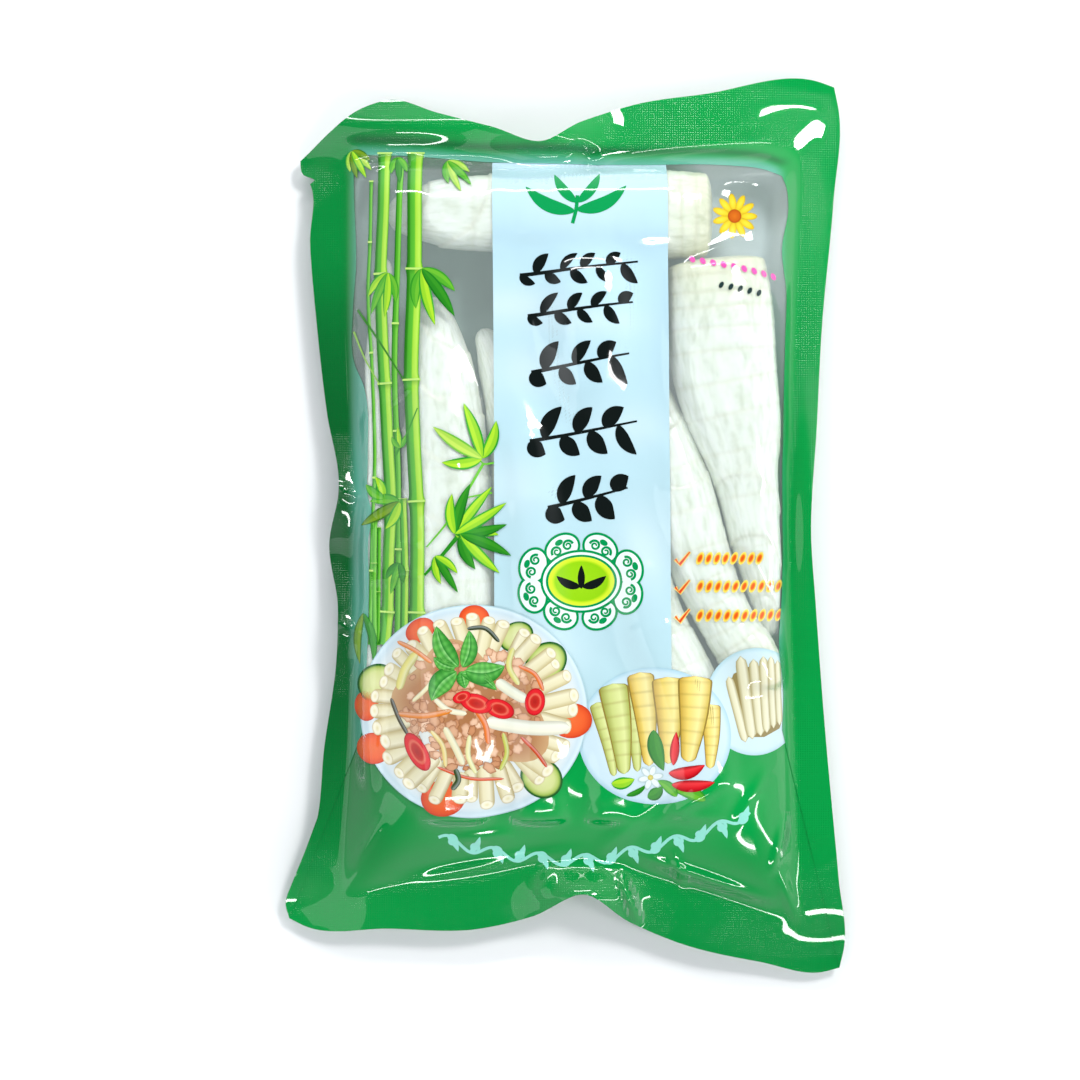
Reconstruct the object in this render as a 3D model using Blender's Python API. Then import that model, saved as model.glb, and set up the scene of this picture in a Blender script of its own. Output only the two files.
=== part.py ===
"""Sealed pouch of peeled bamboo shoots, lying on its back.

Metres, +Z up. The pouch lies on the plane Z = 0 with its printed front facing +Z. +X is to
the right of the front and +Y points to its top end. The origin is under the middle of its
footprint. Two films are welded together along a border, and the shoots lie between them.
"""
import bmesh
import bpy
import numpy as np
from mathutils import Matrix, Vector

MM = 0.001

# Driving dimensions
FILM = 0.3 * MM            # thickness of each film's solid, laminate and trapped water skin
WELD_GAP = 0.3 * MM        # clear space between the two films in the welded border
POUCH_DEPTH = 26.0 * MM    # from the table to the inside of the front film
WELD_HEIGHT = 8.0 * MM     # usual height of the welded border above the table
FRONT_ROUND = (20, 15, 26, 15)   # width of the front film's wall at left, right, bottom, top, mm
BACK_ROUND = (7, 7, 9, 9)        # the same for the back film, mm
ROUND_POWER = 2.2          # 2 is a quarter parabola, more is a squarer shoulder
SHOOT_REST = 0.8 * MM      # lowest point of a full-size shoot above the table
FULL_HALF_DEPTH = 12.0     # half depth of a full-size shoot, mm

# The pouch's outline, seen from the front, mm. Each side runs left to right or bottom to top
# and starts and ends in the middle of a rounded corner.
BOTTOM_SIDE = [(-78.0, -110.8), (-74, -112.8), (-50, -113.2), (-24, -113.2), (-9, -109.5),
               (5.5, -102.6), (18, -111), (31, -116.8), (55, -122.8), (73, -126), (77.8, -124.8)]
TOP_SIDE = [(-74.8, 103.6), (-66, 111.4), (-57, 118), (-49, 120.4), (-36, 116.6), (-21, 112.4),
            (-6.5, 107.6), (5, 113.8), (19, 118.9), (39, 122.1), (72, 125.9), (76.2, 124.4)]
LEFT_SIDE = [(-78.0, -110.8), (-79, -107.2), (-76, -98.5), (-70.5, -85), (-67.8, -62), (-64, -34),
             (-63.8, -22), (-66.5, -5), (-63.4, 10.5), (-67, 32), (-70, 58), (-71.8, 80),
             (-72, 97), (-74.6, 101), (-74.8, 103.6)]
RIGHT_SIDE = [(77.8, -124.8), (79, -119.8), (77.2, -99), (73.6, -60), (70.6, -22), (69.2, -3),
              (71, 30), (72.6, 58), (76, 92), (77.3, 119), (76.2, 124.4)]

# Where the weld ends and the pouch opens out, mm
LEFT_WELD = [(-110, -64), (-60, -60), (0, -59), (60, -61), (110, -61)]     # y, x
RIGHT_WELD = [(-126, 66), (-60, 64), (0, 63), (60, 64.5), (126, 67)]       # y, x
BOTTOM_WELD = [(-80, -108), (-60, -104), (-38, -97), (10, -95.5), (40, -102), (66, -110), (80, -113)]
TOP_WELD = [(-76, 104.5), (-40, 104.5), (0, 104), (40, 106), (78, 108)]    # x, y

# Buckles of the welded border: x, y, reach in x, reach in y and rise, mm
BUCKLES = [(-6, 110, 15, 9, 11), (-45, 113, 24, 5, 4), (-75, 104, 9, 9, -3.5), (70, 122, 20, 10, -3),
           (-63, 10, 7, 12, 5), (-63, -28, 7, 13, 4), (-67, -6, 6, 8, -2.5), (6, -104, 13, 8, 9),
           (-76, -110, 14, 11, -4.5), (75, -122, 22, 13, -4.5), (70, 2, 7, 30, 3), (76, 92, 7, 22, -3)]

# Grid lines of the films, as fractions across and up the pouch, closer together at the walls
LINES_ACROSS = [0, 0.035, 0.075, 0.095, 0.12, 0.15, 0.19, 0.24, 0.31, 0.39, 0.46, 0.53, 0.61, 0.69,
                0.76, 0.82, 0.86, 0.885, 0.91, 0.935, 0.965, 1]
LINES_UP = [0, 0.03, 0.055, 0.075, 0.10, 0.13, 0.165, 0.21, 0.26, 0.31, 0.36, 0.41, 0.46, 0.51, 0.56,
            0.61, 0.66, 0.71, 0.76, 0.81, 0.85, 0.88, 0.905, 0.925, 0.945, 0.97, 1]

# Each shoot's middle line from the cut base to the tip: x, y, half width, half depth, mm
SHOOTS = {
    "shoot_across_top": [(41.5, 87.6, 10.8, 9), (36, 87.6, 11.4, 10), (10, 87.8, 11.4, 10.2),
                         (-15, 88, 10.6, 9.6), (-36, 88.2, 8.6, 8), (-50, 88.2, 3.5, 3.5)],
    "shoot_right_upper": [(42, 75.6, 13, 10.6), (43, 66, 14, 11.8), (45, 42, 14, 12),
                          (48, 28, 12.2, 11.4), (50.6, 14, 8.9, 9.6), (54.3, -8, 6, 7),
                          (57.3, -25, 2.7, 3.6), (58, -31, 1.2, 1.6)],
    "shoot_right_middle": [(53, -46, 7.2, 8), (52, -38, 8, 9), (46.2, -28, 7.3, 9.2),
                           (42, -20, 7.6, 9.4), (37.3, -8, 8.6, 9.6), (32.2, 13, 8, 9),
                           (25.5, 35, 5, 6), (21.5, 52, 1.6, 2)],
    "shoot_right_lower": [(37, -83, 10.6, 8.6), (37.5, -72, 12.2, 11), (35, -56, 12, 11.6),
                          (31, -44, 11, 11), (24.5, -28, 9.4, 10), (19.5, -8, 7.4, 8.6),
                          (15.8, 10, 4.6, 5.6), (14, 21, 1.6, 2)],
    "shoot_left_wide": [(-31, -83, 11.2, 8.6), (-31, -71, 12.7, 11), (-32, -38, 12.8, 12),
                        (-33, -5, 12.3, 12), (-33.6, 20, 11.6, 11.6), (-34.6, 42, 9, 9.6),
                        (-36, 56, 5.6, 6.6), (-37, 65, 1.8, 2.2)],
    "shoot_left_centre": [(-7, -83, 9, 7.8), (-7, -70, 9.8, 9.8), (-8.4, -30, 9.8, 10.4),
                          (-10, 0, 9.4, 10), (-12.6, 25, 8.2, 9.4), (-18.4, 44, 5.2, 6.6),
                          (-23.5, 56, 2, 2.6)],
    "shoot_left_edge": [(-51, -80, 4.6, 4.6), (-51.4, -66, 5.2, 5.6), (-51.5, -30, 5, 5.6),
                        (-51.6, 20, 4.6, 5.4), (-51.4, 52, 3.8, 4.6), (-51, 76, 1.4, 1.8)],
    "shoot_centre_upper": [(7.4, 74.6, 11.4, 10), (7.4, 64, 12.4, 11.4), (6.8, 44, 10.6, 10.6),
                           (4.8, 24, 5.9, 7), (3.9, 2, 3.2, 4), (3.6, -12, 1.4, 1.8)],
    "shoot_centre_lower": [(13.4, -83, 8.6, 7.6), (13, -71, 9.2, 9.4), (11.6, -52, 8.4, 9),
                           (9, -34, 6, 7), (7, -20, 2, 2.4)],
}
SHOOT_RINGS = 20
SHOOT_SIDES = 16


def smooth_through(knots, values, at):
    """Value at each place: cubic pieces that join at the knots, each knot's slope being
    the slope between its two neighbours."""
    knots = np.asarray(knots, dtype=float)
    values = np.asarray(values, dtype=float)
    slopes = np.gradient(values, knots)
    at = np.clip(at, knots[0], knots[-1])
    piece = np.clip(np.searchsorted(knots, at, side="right") - 1, 0, len(knots) - 2)
    width = knots[piece + 1] - knots[piece]
    t = (at - knots[piece]) / width
    start_weight = (1 + 2 * t) * (1 - t) ** 2
    return (start_weight * values[piece] + (1 - start_weight) * values[piece + 1]
            + width * t * (1 - t) ** 2 * slopes[piece] - width * t ** 2 * (1 - t) * slopes[piece + 1])


def along(points, fractions):
    """Points at the given fractions of the length of the smooth curve through the points."""
    points = np.asarray(points, dtype=float)
    steps = np.linalg.norm(np.diff(points[:, :2], axis=0), axis=1)
    knots = np.concatenate([[0], np.cumsum(steps)]) / steps.sum()
    return np.stack([smooth_through(knots, points[:, k], fractions) for k in range(points.shape[1])], axis=-1)


def line_value(pairs, at):
    """Second value of the pairs where the first is at, on a smooth curve."""
    knots, values = zip(*pairs)
    return smooth_through(knots, values, at)


def pouch_plan():
    """Plan of the films' grid points, mm: the four sides blended across the pouch."""
    across = np.array(LINES_ACROSS)
    up = np.array(LINES_UP)
    bottom = along(BOTTOM_SIDE, across)[:, None, :]
    top = along(TOP_SIDE, across)[:, None, :]
    left = along(LEFT_SIDE, up)[None, :, :]
    right = along(RIGHT_SIDE, up)[None, :, :]
    u = across[:, None, None]
    v = up[None, :, None]
    corners = ((1 - u) * (1 - v) * bottom[:1] + u * (1 - v) * bottom[-1:]
               + (1 - u) * v * top[:1] + u * v * top[-1:])
    plan = (1 - v) * bottom + v * top + (1 - u) * left + u * right - corners
    return plan[..., 0], plan[..., 1]


def weld_height(x, y):
    """Height of the middle of the welded border, mm: level, with a smooth hump at each buckle."""
    height = np.full(np.shape(x), WELD_HEIGHT / MM)
    for at_x, at_y, reach_x, reach_y, rise in BUCKLES:
        height = height + rise * np.exp(-((x - at_x) / reach_x) ** 2 - ((y - at_y) / reach_y) ** 2)
    return height


def openness(x, y, rounds):
    """0 in the weld, 1 where the pouch is fully open, rising over a rounded wall at each side."""
    insets = (x - line_value(LEFT_WELD, y), line_value(RIGHT_WELD, y) - x,
              y - line_value(BOTTOM_WELD, x), line_value(TOP_WELD, x) - y)
    result = np.ones(np.shape(x))
    for inset, width in zip(insets, rounds):
        result = result * (1 - (1 - np.clip(inset / width, 0, 1)) ** ROUND_POWER)
    return result


def inner_heights(x, y):
    """Heights of the two films' inner faces, mm."""
    weld = weld_height(x, y)
    front = weld + WELD_GAP / MM / 2
    front = front + (POUCH_DEPTH / MM - front) * openness(x, y, FRONT_ROUND)
    back = weld - WELD_GAP / MM / 2
    back = back + (FILM / MM - back) * openness(x, y, BACK_ROUND)
    return front, back


def plain_material(name, colour, roughness, alpha=1.0):
    material = bpy.data.materials.new(name)
    material.use_nodes = True
    shader = material.node_tree.nodes["Principled BSDF"]
    shader.inputs["Base Color"].default_value = (*colour, 1)
    shader.inputs["Roughness"].default_value = roughness
    shader.inputs["Metallic"].default_value = 0.0
    shader.inputs["Alpha"].default_value = alpha
    return material


def add_object(name, mesh_builder, material):
    """Turns a bmesh in millimetres into one smooth-shaded object in metres."""
    bmesh.ops.recalc_face_normals(mesh_builder, faces=mesh_builder.faces)
    bmesh.ops.scale(mesh_builder, vec=(MM, MM, MM), verts=mesh_builder.verts)
    mesh = bpy.data.meshes.new(name)
    mesh_builder.to_mesh(mesh)
    mesh_builder.free()
    mesh.shade_smooth()
    mesh.materials.append(material)
    part = bpy.data.objects.new(name, mesh)
    bpy.context.scene.collection.objects.link(part)
    return part


def add_film(name, x, y, low, high, material):
    """A thin closed sheet between two heights over the same plan grid."""
    builder = bmesh.new()
    count_across, count_up = x.shape
    faces = []
    for height in (low, high):
        faces.append([[builder.verts.new((x[i, j], y[i, j], height[i, j])) for j in range(count_up)]
                      for i in range(count_across)])
    under, over = faces
    for i in range(count_across - 1):
        for j in range(count_up - 1):
            builder.faces.new((under[i][j], under[i][j + 1], under[i + 1][j + 1], under[i + 1][j]))
            builder.faces.new((over[i][j], over[i + 1][j], over[i + 1][j + 1], over[i][j + 1]))
    rim = ([(i, 0) for i in range(count_across)] + [(count_across - 1, j) for j in range(1, count_up)]
           + [(i, count_up - 1) for i in range(count_across - 2, -1, -1)]
           + [(0, j) for j in range(count_up - 2, 0, -1)])
    for (i, j), (next_i, next_j) in zip(rim, rim[1:] + rim[:1]):
        builder.faces.new((under[i][j], under[next_i][next_j], over[next_i][next_j], over[i][j]))
    return add_object(name, builder, material)


def add_shoot(name, stations, material):
    """One peeled shoot: oval rings along a smooth middle line, closed by its cut base and tip."""
    places = along(stations, np.linspace(0, 1, SHOOT_RINGS))
    middle = places[:, :2]
    half_width = places[:, 2]
    half_depth = places[:, 3]
    rest = SHOOT_REST / MM + half_depth + 0.5 * (FULL_HALF_DEPTH - half_depth)
    forward = np.gradient(middle, axis=0)
    forward = forward / np.linalg.norm(forward, axis=1, keepdims=True)
    sideways = np.stack([-forward[:, 1], forward[:, 0]], axis=1)
    angles = np.linspace(0, 2 * np.pi, SHOOT_SIDES, endpoint=False)
    builder = bmesh.new()
    rings = []
    for k in range(SHOOT_RINGS):
        ring = []
        for angle in angles:
            x, y = middle[k] + sideways[k] * half_width[k] * np.cos(angle)
            ring.append(builder.verts.new((x, y, rest[k] + half_depth[k] * np.sin(angle))))
        rings.append(ring)
    for ring, next_ring in zip(rings, rings[1:]):
        for k in range(SHOOT_SIDES):
            following = (k + 1) % SHOOT_SIDES
            builder.faces.new((ring[k], ring[following], next_ring[following], next_ring[k]))
    for ring in (rings[0], rings[-1]):
        builder.faces.new(ring)
    return add_object(name, builder, material)


def build_pouch():
    for old in list(bpy.data.objects):
        bpy.data.objects.remove(old, do_unlink=True)
    x, y = pouch_plan()
    shift = ((x.min() + x.max()) / 2, (y.min() + y.max()) / 2, 0)
    front, back = inner_heights(x, y)
    thickness = FILM / MM
    print_green = plain_material("front_film", (0.02, 0.45, 0.16), 0.25, 0.6)
    back_white = plain_material("back_film", (0.75, 0.85, 0.82), 0.3, 0.8)
    parts = [add_film("front_film", x, y, front, front + thickness, print_green),
             add_film("back_film", x, y, back - thickness, back, back_white)]
    for name, stations in SHOOTS.items():
        flesh = plain_material(name, (0.86, 0.88, 0.78), 0.4)
        parts.append(add_shoot(name, stations, flesh))
    for part in parts:
        part.data.transform(Matrix.Translation(Vector(shift) * -MM))


build_pouch()
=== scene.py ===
"""A sealed pouch of peeled bamboo shoots lying on its back, seen from above.

Plan sizes are in millimetres, as on the packer's drawing, and meshes are in metres.
+X is to the right of the printed front, +Y to its top end and +Z up out of the front.
"""
import bmesh
import bpy
import numpy as np
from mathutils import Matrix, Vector


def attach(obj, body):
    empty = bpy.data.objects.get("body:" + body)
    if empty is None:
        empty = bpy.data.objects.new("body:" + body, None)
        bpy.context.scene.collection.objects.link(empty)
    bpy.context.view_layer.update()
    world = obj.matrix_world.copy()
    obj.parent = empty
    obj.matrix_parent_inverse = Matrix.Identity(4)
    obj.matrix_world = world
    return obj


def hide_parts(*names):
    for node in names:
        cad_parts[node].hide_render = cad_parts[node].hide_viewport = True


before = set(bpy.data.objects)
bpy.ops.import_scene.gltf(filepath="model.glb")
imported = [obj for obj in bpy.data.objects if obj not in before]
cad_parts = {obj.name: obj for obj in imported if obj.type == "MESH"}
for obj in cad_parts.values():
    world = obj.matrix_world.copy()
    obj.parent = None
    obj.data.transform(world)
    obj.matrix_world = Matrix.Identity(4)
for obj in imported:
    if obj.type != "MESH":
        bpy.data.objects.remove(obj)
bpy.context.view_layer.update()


# ---------------------------------------------------------------------------
# Camera, floor and lights
# The pouch lies on a plain pale table. It is looked at from straight above
# through a long lens, under large soft lamps and two narrow strip lamps.
# ---------------------------------------------------------------------------
MM = 0.001
VIEW_CENTRE = (-7.0, -3.6)
VIEW_WIDTH = 302.4
MIDDLE_HEIGHT = 14.0
LENS = 100.0
SENSOR = 36.0

camera_data = bpy.data.cameras.new("overhead_camera")
camera_data.lens = LENS
camera_data.sensor_width = SENSOR
camera = bpy.data.objects.new("overhead_camera", camera_data)
camera.location = (VIEW_CENTRE[0] * MM, VIEW_CENTRE[1] * MM,
                   (MIDDLE_HEIGHT + VIEW_WIDTH * LENS / SENSOR) * MM)
bpy.context.scene.collection.objects.link(camera)
bpy.context.scene.camera = camera


def add_lamp(name, place, size, power, colour=(1.0, 1.0, 1.0)):
    """A rectangular lamp at a place in metres, turned towards the pouch's middle."""
    data = bpy.data.lights.new(name, "AREA")
    data.shape = "RECTANGLE"
    data.size, data.size_y = size
    data.energy = power
    data.color = colour
    lamp = bpy.data.objects.new(name, data)
    lamp.location = place
    lamp.rotation_mode = "QUATERNION"
    lamp.rotation_quaternion = (-Vector(place)).to_track_quat("-Z", "Y")
    bpy.context.scene.collection.objects.link(lamp)


add_lamp("key_lamp", (0.45, 0.55, 0.90), (0.22, 0.22), 6.8)
add_lamp("fill_lamp", (-0.75, -0.35, 1.00), (0.8, 0.8), 2.6, (0.92, 0.97, 1.0))
add_lamp("top_strip", (-0.15, 0.70, 0.62), (0.7, 0.06), 3.2)
add_lamp("side_strip", (0.80, -0.30, 0.62), (0.05, 0.7), 2.4)
add_lamp("low_strip", (0.10, -0.62, 0.75), (0.5, 0.05), 2.0)

# The studio is white round the sides and dimmer overhead, so level film doesn't look hazy
world = bpy.data.worlds.new("studio_white")
world.use_nodes = True
sky = world.node_tree
sky_place = sky.nodes.new("ShaderNodeTexCoord")
sky_parts = sky.nodes.new("ShaderNodeSeparateXYZ")
sky_ramp = sky.nodes.new("ShaderNodeValToRGB")
sky_ramp.color_ramp.elements[0].position = 0.35
sky_ramp.color_ramp.elements[0].color = (0.90, 0.95, 1.0, 1)
sky_ramp.color_ramp.elements[1].position = 0.85
sky_ramp.color_ramp.elements[1].color = (0.07, 0.08, 0.09, 1)
sky.links.new(sky_place.outputs["Generated"], sky_parts.inputs[0])
sky.links.new(sky_parts.outputs["Z"], sky_ramp.inputs["Fac"])
sky.links.new(sky_ramp.outputs["Color"], sky.nodes["Background"].inputs["Color"])
sky.nodes["Background"].inputs["Strength"].default_value = 1.0
bpy.context.scene.world = world
bpy.context.scene.view_settings.view_transform = "Standard"


def srgb(red, green, blue):
    """A colour from its 0 to 255 display values, as the linear values that shaders take."""
    share = np.array([red, green, blue]) / 255.0
    linear = np.where(share <= 0.04045, share / 12.92, ((share + 0.055) / 1.055) ** 2.4)
    return (*linear.tolist(), 1.0)


def new_material(name, roughness, coat=0.0, coat_roughness=0.05):
    """A material with one Principled shader, its node tree and the shader returned."""
    material = bpy.data.materials.new(name)
    material.use_nodes = True
    shader = material.node_tree.nodes["Principled BSDF"]
    shader.inputs["Roughness"].default_value = roughness
    shader.inputs["Coat Weight"].default_value = coat
    shader.inputs["Coat Roughness"].default_value = coat_roughness
    return material, material.node_tree, shader


def grid_faces(count_u, count_v, first=0):
    """Corner numbers of the quads of a count_u by count_v grid of points, as an array."""
    corner = (np.arange(count_u - 1)[:, None] * count_v + np.arange(count_v - 1)[None, :]).ravel() + first
    return np.stack([corner, corner + count_v, corner + count_v + 1, corner + 1], axis=1)


ATTRIBUTE_KINDS = {1: ("FLOAT", "value"), 3: ("FLOAT_VECTOR", "vector"), 4: ("FLOAT_COLOR", "color")}


def mesh_piece(name, points, faces, material, attributes=None, closed=False, merged=False):
    """One smooth piece from points in millimetres, quads and named values per point.

    A closed or merged piece has the doubled points of its seams and poles merged, and a
    closed one has its faces turned outwards.
    """
    mesh = bpy.data.meshes.new(name)
    mesh.from_pydata((np.asarray(points) * MM).tolist(), [], np.asarray(faces).tolist())
    for title, values in (attributes or {}).items():
        values = np.asarray(values, dtype=np.float32)
        kind, field = ATTRIBUTE_KINDS[values.shape[1] if values.ndim == 2 else 1]
        mesh.attributes.new(title, kind, "POINT").data.foreach_set(field, values.ravel())
    if closed or merged:
        builder = bmesh.new()
        builder.from_mesh(mesh)
        bmesh.ops.remove_doubles(builder, verts=builder.verts, dist=0.002 * MM)
        if closed:
            bmesh.ops.recalc_face_normals(builder, faces=builder.faces)
        builder.to_mesh(mesh)
        builder.free()
    mesh.shade_smooth()
    mesh.materials.append(material)
    piece = bpy.data.objects.new(name, mesh)
    bpy.context.scene.collection.objects.link(piece)
    return piece


floor_material, _, floor_shader = new_material("pale_table", 0.7)
floor_shader.inputs["Base Color"].default_value = (0.86, 0.87, 0.88, 1)
FLOOR_HALF = 3000.0
FLOOR_LEVEL = -0.2
floor_piece = mesh_piece("floor",
                         [(-FLOOR_HALF, -FLOOR_HALF, FLOOR_LEVEL), (FLOOR_HALF, -FLOOR_HALF, FLOOR_LEVEL),
                          (FLOOR_HALF, FLOOR_HALF, FLOOR_LEVEL), (-FLOOR_HALF, FLOOR_HALF, FLOOR_LEVEL)],
                         [(0, 1, 2, 3)], floor_material)


# ---------------------------------------------------------------------------
# Shoots
# Whole small bamboo shoots, boiled and peeled: ivory flesh with growth rings
# close together above the cut base and overlapping sheaths towards the tip.
# They are packed side by side and held in place by the film drawn tight on them.
# ---------------------------------------------------------------------------
# Middle line from cut base to tip: x, y, half width, half depth
SHOOTS = {
    "shoot_across_top": [(41.5, 87.6, 10.8, 9), (36, 87.6, 11.4, 10), (10, 87.8, 11.4, 10.2),
                         (-15, 88, 10.6, 9.6), (-36, 88.2, 8.6, 8), (-50, 88.2, 3.5, 3.5)],
    "shoot_right_upper": [(42, 75.6, 13, 10.6), (43, 66, 14, 11.8), (45, 42, 14, 12),
                          (48, 28, 12.2, 11.4), (50.6, 14, 8.9, 9.6), (54.3, -8, 6, 7),
                          (57.3, -25, 2.7, 3.6), (58, -31, 1.2, 1.6)],
    "shoot_right_middle": [(53, -46, 7.2, 8), (52, -38, 8, 9), (46.2, -28, 7.3, 9.2),
                           (42, -20, 7.6, 9.4), (37.3, -8, 8.6, 9.6), (32.2, 13, 8, 9),
                           (25.5, 35, 5, 6), (21.5, 52, 1.6, 2)],
    "shoot_right_lower": [(37, -83, 10.6, 8.6), (37.5, -72, 12.2, 11), (35, -56, 12, 11.6),
                          (31, -44, 11, 11), (24.5, -28, 9.4, 10), (19.5, -8, 7.4, 8.6),
                          (15.8, 10, 4.6, 5.6), (14, 21, 1.6, 2)],
    "shoot_left_wide": [(-31, -83, 11.2, 8.6), (-31, -71, 12.7, 11), (-32, -38, 12.8, 12),
                        (-33, -5, 12.3, 12), (-33.6, 20, 11.6, 11.6), (-34.6, 42, 9, 9.6),
                        (-36, 56, 5.6, 6.6), (-37, 65, 1.8, 2.2)],
    "shoot_left_centre": [(-7, -83, 9, 7.8), (-7, -70, 9.8, 9.8), (-8.4, -30, 9.8, 10.4),
                          (-10, 0, 9.4, 10), (-12.6, 25, 8.2, 9.4), (-18.4, 44, 5.2, 6.6),
                          (-23.5, 56, 2, 2.6)],
    "shoot_left_edge": [(-51, -80, 4.6, 4.6), (-51.4, -66, 5.2, 5.6), (-51.5, -30, 5, 5.6),
                        (-51.6, 20, 4.6, 5.4), (-51.4, 52, 3.8, 4.6), (-51, 76, 1.4, 1.8)],
    "shoot_centre_upper": [(7.4, 74.6, 11.4, 10), (7.4, 64, 12.4, 11.4), (6.8, 44, 10.6, 10.6),
                           (4.8, 24, 5.9, 7), (3.9, 2, 3.2, 4), (3.6, -12, 1.4, 1.8)],
    "shoot_centre_lower": [(13.4, -83, 8.6, 7.6), (13, -71, 9.2, 9.4), (11.6, -52, 8.4, 9),
                           (9, -34, 6, 7), (7, -20, 2, 2.4)],
}
SHOOT_REST = 0.8
FULL_HALF_DEPTH = 12.0
PRESSED = 0.55             # how far the film presses neighbours into each other's gap
SECTION_POWER = 0.82       # below 1 the section is squarer than an ellipse


def smooth_through(knots, values, at):
    """Value at each place: cubic pieces that join at the knots, each knot's slope being
    the slope between its two neighbours."""
    knots = np.asarray(knots, dtype=float)
    values = np.asarray(values, dtype=float)
    slopes = np.gradient(values, knots)
    at = np.clip(at, knots[0], knots[-1])
    piece = np.clip(np.searchsorted(knots, at, side="right") - 1, 0, len(knots) - 2)
    width = knots[piece + 1] - knots[piece]
    t = (at - knots[piece]) / width
    start_weight = (1 + 2 * t) * (1 - t) ** 2
    return (start_weight * values[piece] + (1 - start_weight) * values[piece + 1]
            + width * t * (1 - t) ** 2 * slopes[piece] - width * t ** 2 * (1 - t) * slopes[piece + 1])


def along(points, fractions):
    """Points at the given fractions of the length of the smooth curve through the points."""
    points = np.asarray(points, dtype=float)
    steps = np.linalg.norm(np.diff(points[:, :2], axis=0), axis=1)
    knots = np.concatenate([[0], np.cumsum(steps)]) / steps.sum()
    return np.stack([smooth_through(knots, points[:, k], fractions) for k in range(points.shape[1])], axis=-1)


def shoot_surface(stations, seed, rings, sides):
    """Points of one shoot on a rings by sides grid, its distance from the base and its grooves.

    Each ring is an oval whose corners are filled out, set square to the middle line. Growth
    rings raise the surface at distances that grow from the base. Sheath edges are sawteeth
    that climb round the shoot on its upper part. Fibres are faint waves round the section.
    """
    chance = np.random.default_rng(seed)
    fractions = np.linspace(0, 1, rings)
    places = along(stations, fractions)
    middle, half_width, half_depth = places[:, :2], places[:, 2], places[:, 3]
    rest = SHOOT_REST + half_depth + 0.5 * (FULL_HALF_DEPTH - half_depth)
    forward = np.gradient(middle, axis=0)
    forward = forward / np.linalg.norm(forward, axis=1, keepdims=True)
    sideways = np.stack([-forward[:, 1], forward[:, 0]], axis=1)
    distance = np.concatenate([[0], np.cumsum(np.linalg.norm(np.diff(middle, axis=0), axis=1))])
    length = distance[-1]
    angle = np.linspace(0, 2 * np.pi, sides)[None, :]
    run = distance[:, None]

    swell = np.zeros((rings, sides))
    groove = np.zeros((rings, sides))
    ring_places = 4.0 + 4.2 * (1.17 ** np.arange(14) - 1) / 0.17 + chance.uniform(-0.5, 0.5, 14)
    for place in ring_places[ring_places < 0.9 * length]:
        tilt = chance.uniform(-0.8, 0.8) * np.cos(angle + chance.uniform(0, 6.28))
        offset = run - place - tilt
        fade = 1 - 0.6 * place / length
        swell += fade * (0.10 * np.exp(-(offset / 0.8) ** 2) - 0.12 * np.exp(-((offset - 1.3) / 0.6) ** 2))
        groove += fade * np.exp(-((offset - 1.3) / 0.55) ** 2)
    sheath_share = np.clip((fractions[:, None] - 0.35) / 0.3, 0, 1)
    turn = chance.uniform(0, 6.28)
    tooth = (run / 17 + 0.42 * np.cos(angle / 1 + turn) + 0.12 * np.cos(2 * angle + turn)) % 1
    swell += sheath_share * 0.5 * (tooth ** 3 - 0.3)
    groove += sheath_share * 0.9 * np.exp(-(np.minimum(tooth, 1 - tooth) / 0.05) ** 2)
    for waves in (9, 14, 23):
        swell += 0.03 * np.cos(waves * angle + 0.03 * run + chance.uniform(0, 6.28))
    swell *= np.clip(half_width / 6, 0.15, 1)[:, None]

    cap = np.minimum(np.clip(run / 2.2, 0, 1), np.clip((length - run) / 3.0, 0, 1))
    closing = np.sqrt(np.clip(1 - (1 - cap) ** 2, 0, 1)) * 0.999 + 0.001
    closing[0], closing[-1] = 0, 0
    across = np.sign(np.cos(angle)) * np.abs(np.cos(angle)) ** SECTION_POWER
    rise = np.sign(np.sin(angle)) * np.abs(np.sin(angle)) ** SECTION_POWER
    wide = (half_width[:, None] + PRESSED + swell) * closing * across
    tall = (half_depth[:, None] + np.minimum(swell, 0.25)) * closing * rise
    points = np.empty((rings, sides, 3))
    points[..., :2] = middle[:, None, :] + sideways[:, None, :] * wide[..., None]
    points[..., 2] = rest[:, None] + tall
    return points, np.broadcast_to(run, (rings, sides)), np.clip(groove, 0, 1)


SHOOT_RINGS = 260
SHOOT_SIDES = 97
shoot_material, shoot_tree, shoot_shader = new_material("boiled_shoot_flesh", 0.32, coat=0.35,
                                                        coat_roughness=0.12)
shoot_shader.inputs["Subsurface Weight"].default_value = 0.25
shoot_shader.inputs["Subsurface Radius"].default_value = (1.0, 0.9, 0.6)
shoot_shader.inputs["Subsurface Scale"].default_value = 0.003


def link(tree, start, start_socket, end, end_socket):
    tree.links.new(start.outputs[start_socket], end.inputs[end_socket])


def colour_ramp(tree, stops):
    """A ramp node with (place, colour) stops."""
    ramp = tree.nodes.new("ShaderNodeValToRGB")
    while len(ramp.color_ramp.elements) < len(stops):
        ramp.color_ramp.elements.new(0.5)
    for element, (place, colour) in zip(ramp.color_ramp.elements, stops):
        element.position = place
        element.color = colour
    return ramp


def attribute_node(tree, title):
    node = tree.nodes.new("ShaderNodeAttribute")
    node.attribute_name = title
    return node


def blend_colours(tree, kind="MIX"):
    """A colour mix node, whose inputs 0, 6 and 7 are its factor and its two colours."""
    node = tree.nodes.new("ShaderNodeMix")
    node.data_type = "RGBA"
    node.blend_type = kind
    return node


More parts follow.
